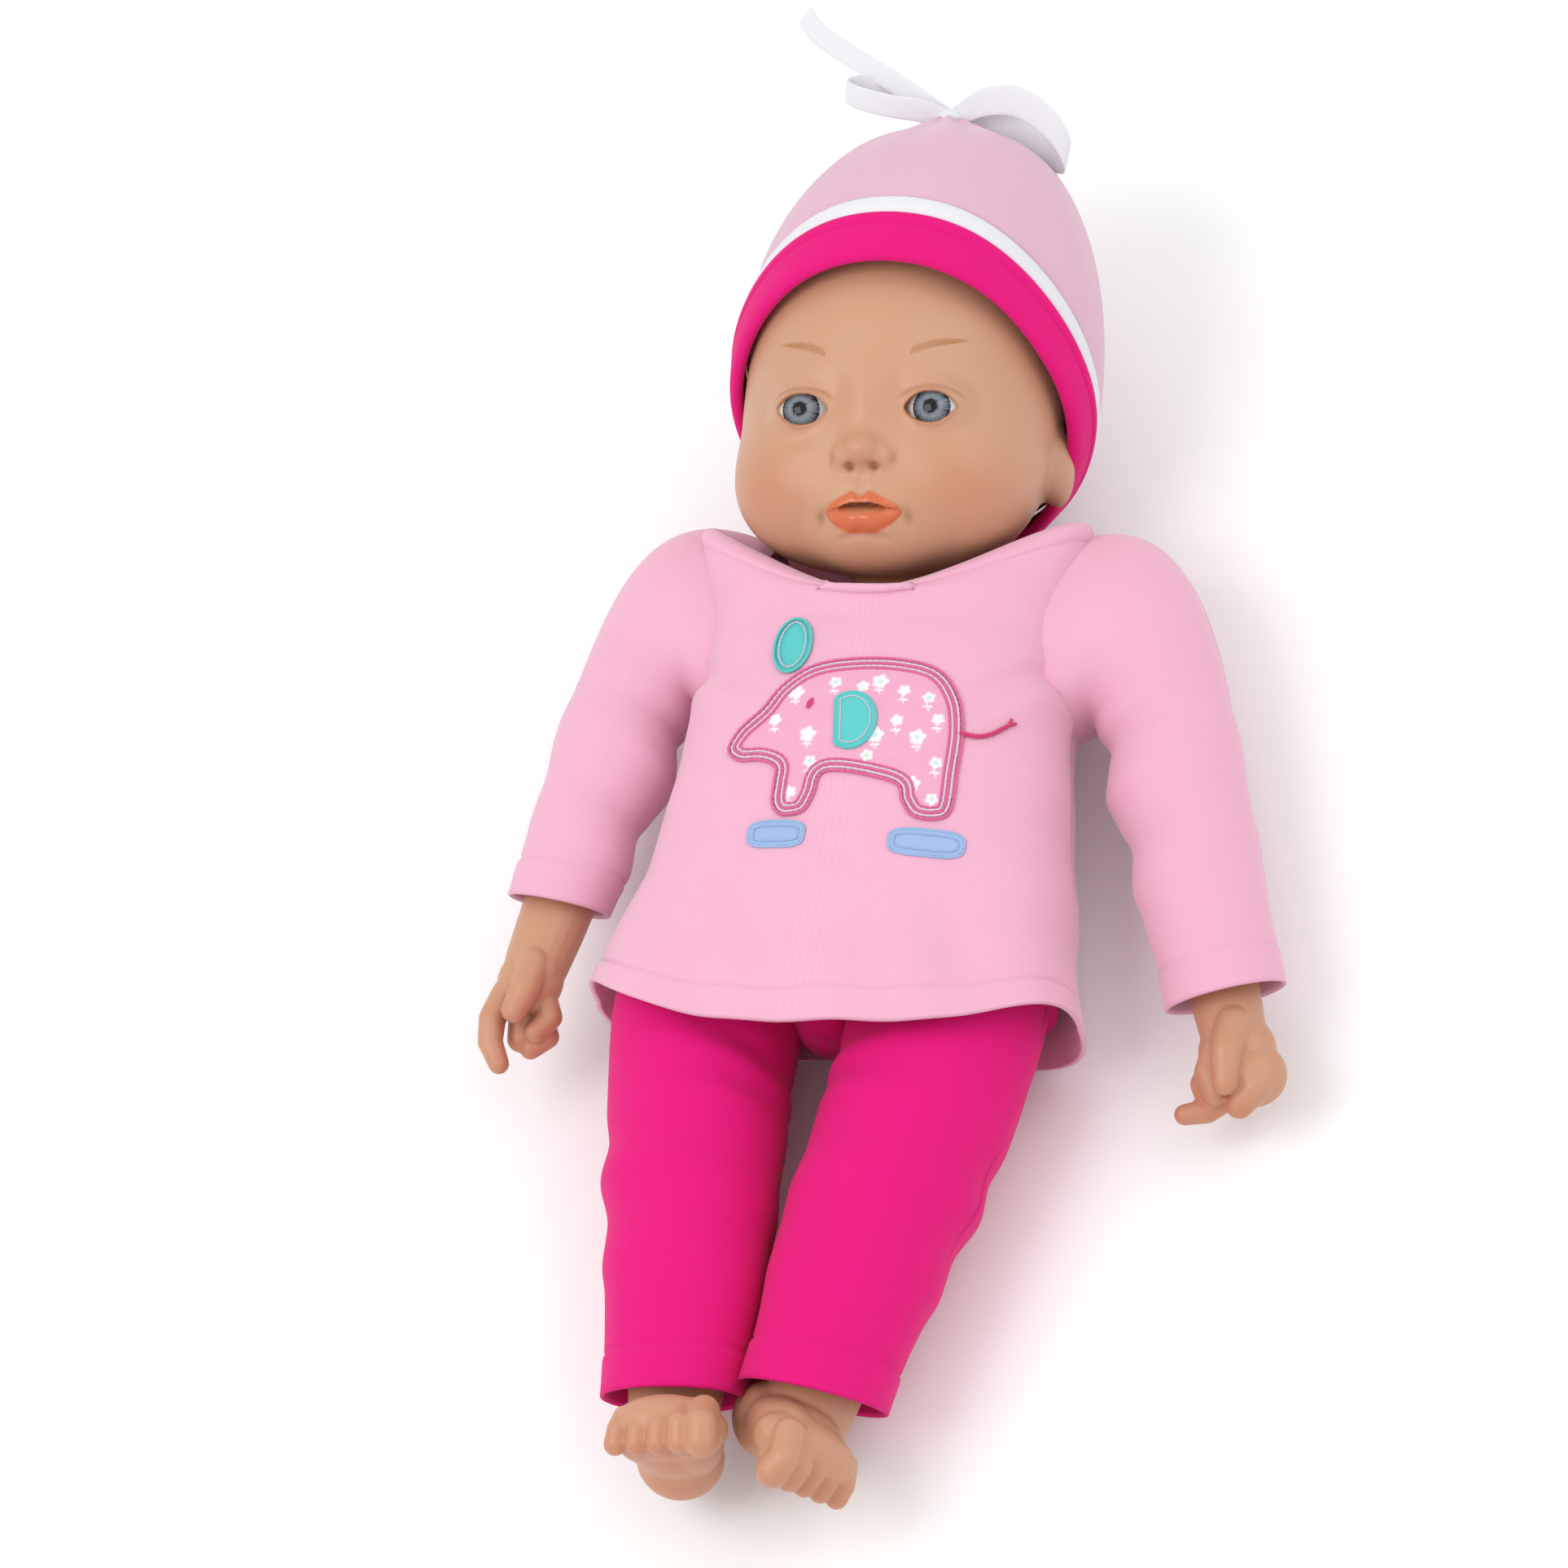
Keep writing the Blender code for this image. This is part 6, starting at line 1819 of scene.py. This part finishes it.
def face_height(xy, lift):
    """The face's own surface under points seen from the front, lifted off it a little."""
    gap = np.hypot(face[None, :, 0] - xy[:, 0, None], face[None, :, 1] - xy[:, 1, None])
    near = np.argsort(gap, axis=1)[:, :4]
    weight = 1 / (np.take_along_axis(gap, near, axis=1) + 1e-5)
    return np.column_stack([xy, (face[near, 2] * weight).sum(axis=1) / weight.sum(axis=1) + lift])


brow_paint = grained("brow_paint", (0.47, 0.22, 0.085), (0.42, 0.19, 0.07), 0.6, scale=800.0, relief=0.00002)
for word, side in (("right", -1), ("left", 1)):
    tables = []
    for n in range(15):
        k = n / 14
        root = np.array([side * (0.0150 + 0.0135 * k), 0.0080 + 0.0058 * k - 0.0012 * k**2])
        lean = 1.45 - 0.95 * k
        size = 0.0038 + 0.0012 * math.sin(k * math.pi)
        t = np.linspace(0, 1, 7)
        stroke = (
            root
            + np.stack(
                [
                    side * (math.cos(lean) * t + 0.18 * t**2) * size,
                    (math.sin(lean) * t - 0.15 * t**2) * size,
                ],
                axis=1,
            )
        )
        width = 0.00011 * np.sin(np.clip(0.12 + 0.88 * t, 0, 1) * math.pi) ** 0.6 + 0.00003
        across = np.array([-math.sin(lean) * side, math.cos(lean)])
        tables.append(
            np.stack(
                [face_height(stroke + across * w, 0.00016) for w in (width[:, None], -width[:, None])],
                axis=1,
            )
        )
    points = np.concatenate([table.reshape(-1, 3) for table in tables])
    quads = []
    for n in range(len(tables)):
        start = n * 14
        quads += [
            [start + 2 * i, start + 2 * i + 1, start + 2 * i + 3, start + 2 * i + 2][:: -side]
            for i in range(6)
        ]
    mesh = bpy.data.meshes.new(f"brow_{word}")
    mesh.from_pydata(from_head(points).tolist(), [], quads)
    brow = bpy.data.objects.new(f"brow_{word}", mesh)
    bpy.context.scene.collection.objects.link(brow)
    dressed(thicken(brow, 0.00008, 0.0), brow_paint, "vinyl_skin", "head")
print("brows painted")

# %% [markdown]
# ## Floor, light and camera
# The doll lies on a pale floor that reaches past the frame. Two large soft lamps and a pale sky give
# an even light, and the camera looks down on the doll from its feet.

# %% The floor
u, v = np.meshgrid(np.linspace(-1.6, 1.6, 9), np.linspace(-1.6, 1.6, 9))
floor = surface("floor", np.stack([u, v, np.full_like(u, -0.0006)], axis=-1), wrap=False)
paper, tree, shader = new_material("floor_paper")
tree.links.new(
    mix_colour(tree, noise(tree, 3.0), (0.90, 0.90, 0.90), (0.88, 0.88, 0.88)), shader.inputs["Base Color"]
)
shader.inputs["Roughness"].default_value = 0.9
floor.data.materials.append(paper)
print("the floor is", round(float(np.ptp(u)), 1), "m wide")

# %% The lights
world = bpy.context.scene.world or bpy.data.worlds.new("studio")
bpy.context.scene.world = world
world.use_nodes = True
bpy.context.scene.view_settings.view_transform = "Standard"  # shows the colours as they are
world.node_tree.nodes["Background"].inputs["Color"].default_value = (1.0, 1.0, 1.0, 1.0)
world.node_tree.nodes["Background"].inputs["Strength"].default_value = 0.95


def axes_at(x_axis, y_axis, z_axis, place):
    """The matrix that stands an object's own axes along these three, at a place."""
    return Matrix(
        [[*row, p] for row, p in zip(np.stack([x_axis, y_axis, z_axis], axis=1).tolist(), place)]
        + [[0, 0, 0, 1]]
    )


def lamp(name, place, aim, size, power):
    """A square area lamp that faces its aim."""
    data = bpy.data.lights.new(name, "AREA")
    data.size, data.energy = size, power
    made = bpy.data.objects.new(name, data)
    bpy.context.scene.collection.objects.link(made)
    z_axis = np.array(place, float) - np.array(aim, float)
    z_axis /= np.linalg.norm(z_axis)
    x_axis = np.cross([0.0, 1.0, 0.001], z_axis)
    x_axis /= np.linalg.norm(x_axis)
    y_axis = np.cross(z_axis, x_axis)
    made.matrix_world = axes_at(x_axis, y_axis, z_axis, place)
    return made


lamp("key_lamp", (-0.7, -0.5, 1.5), (0, 0, 0.05), 0.9, 10.0)
lamp("fill_lamp", (1.1, 0.3, 1.3), (0, 0, 0.05), 1.2, 5.0)
print("two lamps")

# %% The camera
TILT = math.radians(8.5)
LOW, SIDEWAYS = math.radians(30), math.radians(17)
back = np.array([math.cos(LOW) * math.sin(SIDEWAYS), -math.sin(LOW), math.cos(LOW) * math.cos(SIDEWAYS)])
up = np.array([0.0, 1.0, 0.0]) - back[1] * back
up /= np.linalg.norm(up)
right = np.cross(up, back)
up, right = (
    math.cos(TILT) * up - math.sin(TILT) * right,
    math.cos(TILT) * right + math.sin(TILT) * up,
)
DISTANCE = 1.70
aim = np.array([0.0, 0.007, 0.040])
place = aim + DISTANCE * back
camera_data = bpy.data.cameras.new("camera")
FRAME_WIDTH = 0.52337  # metres of the doll's own plane that the frame takes in
ASIDE, BELOW = -0.03098, -0.00082  # metres by which the doll stands right of and above the middle
camera_data.sensor_width = 36.0
camera_data.lens = camera_data.sensor_width * DISTANCE / FRAME_WIDTH
camera_data.shift_x = ASIDE / FRAME_WIDTH
camera_data.shift_y = BELOW / FRAME_WIDTH
camera = bpy.data.objects.new("camera", camera_data)
bpy.context.scene.collection.objects.link(camera)
camera.matrix_world = axes_at(right, up, back, place)
bpy.context.scene.camera = camera
print("lens", round(camera_data.lens, 1), "mm")
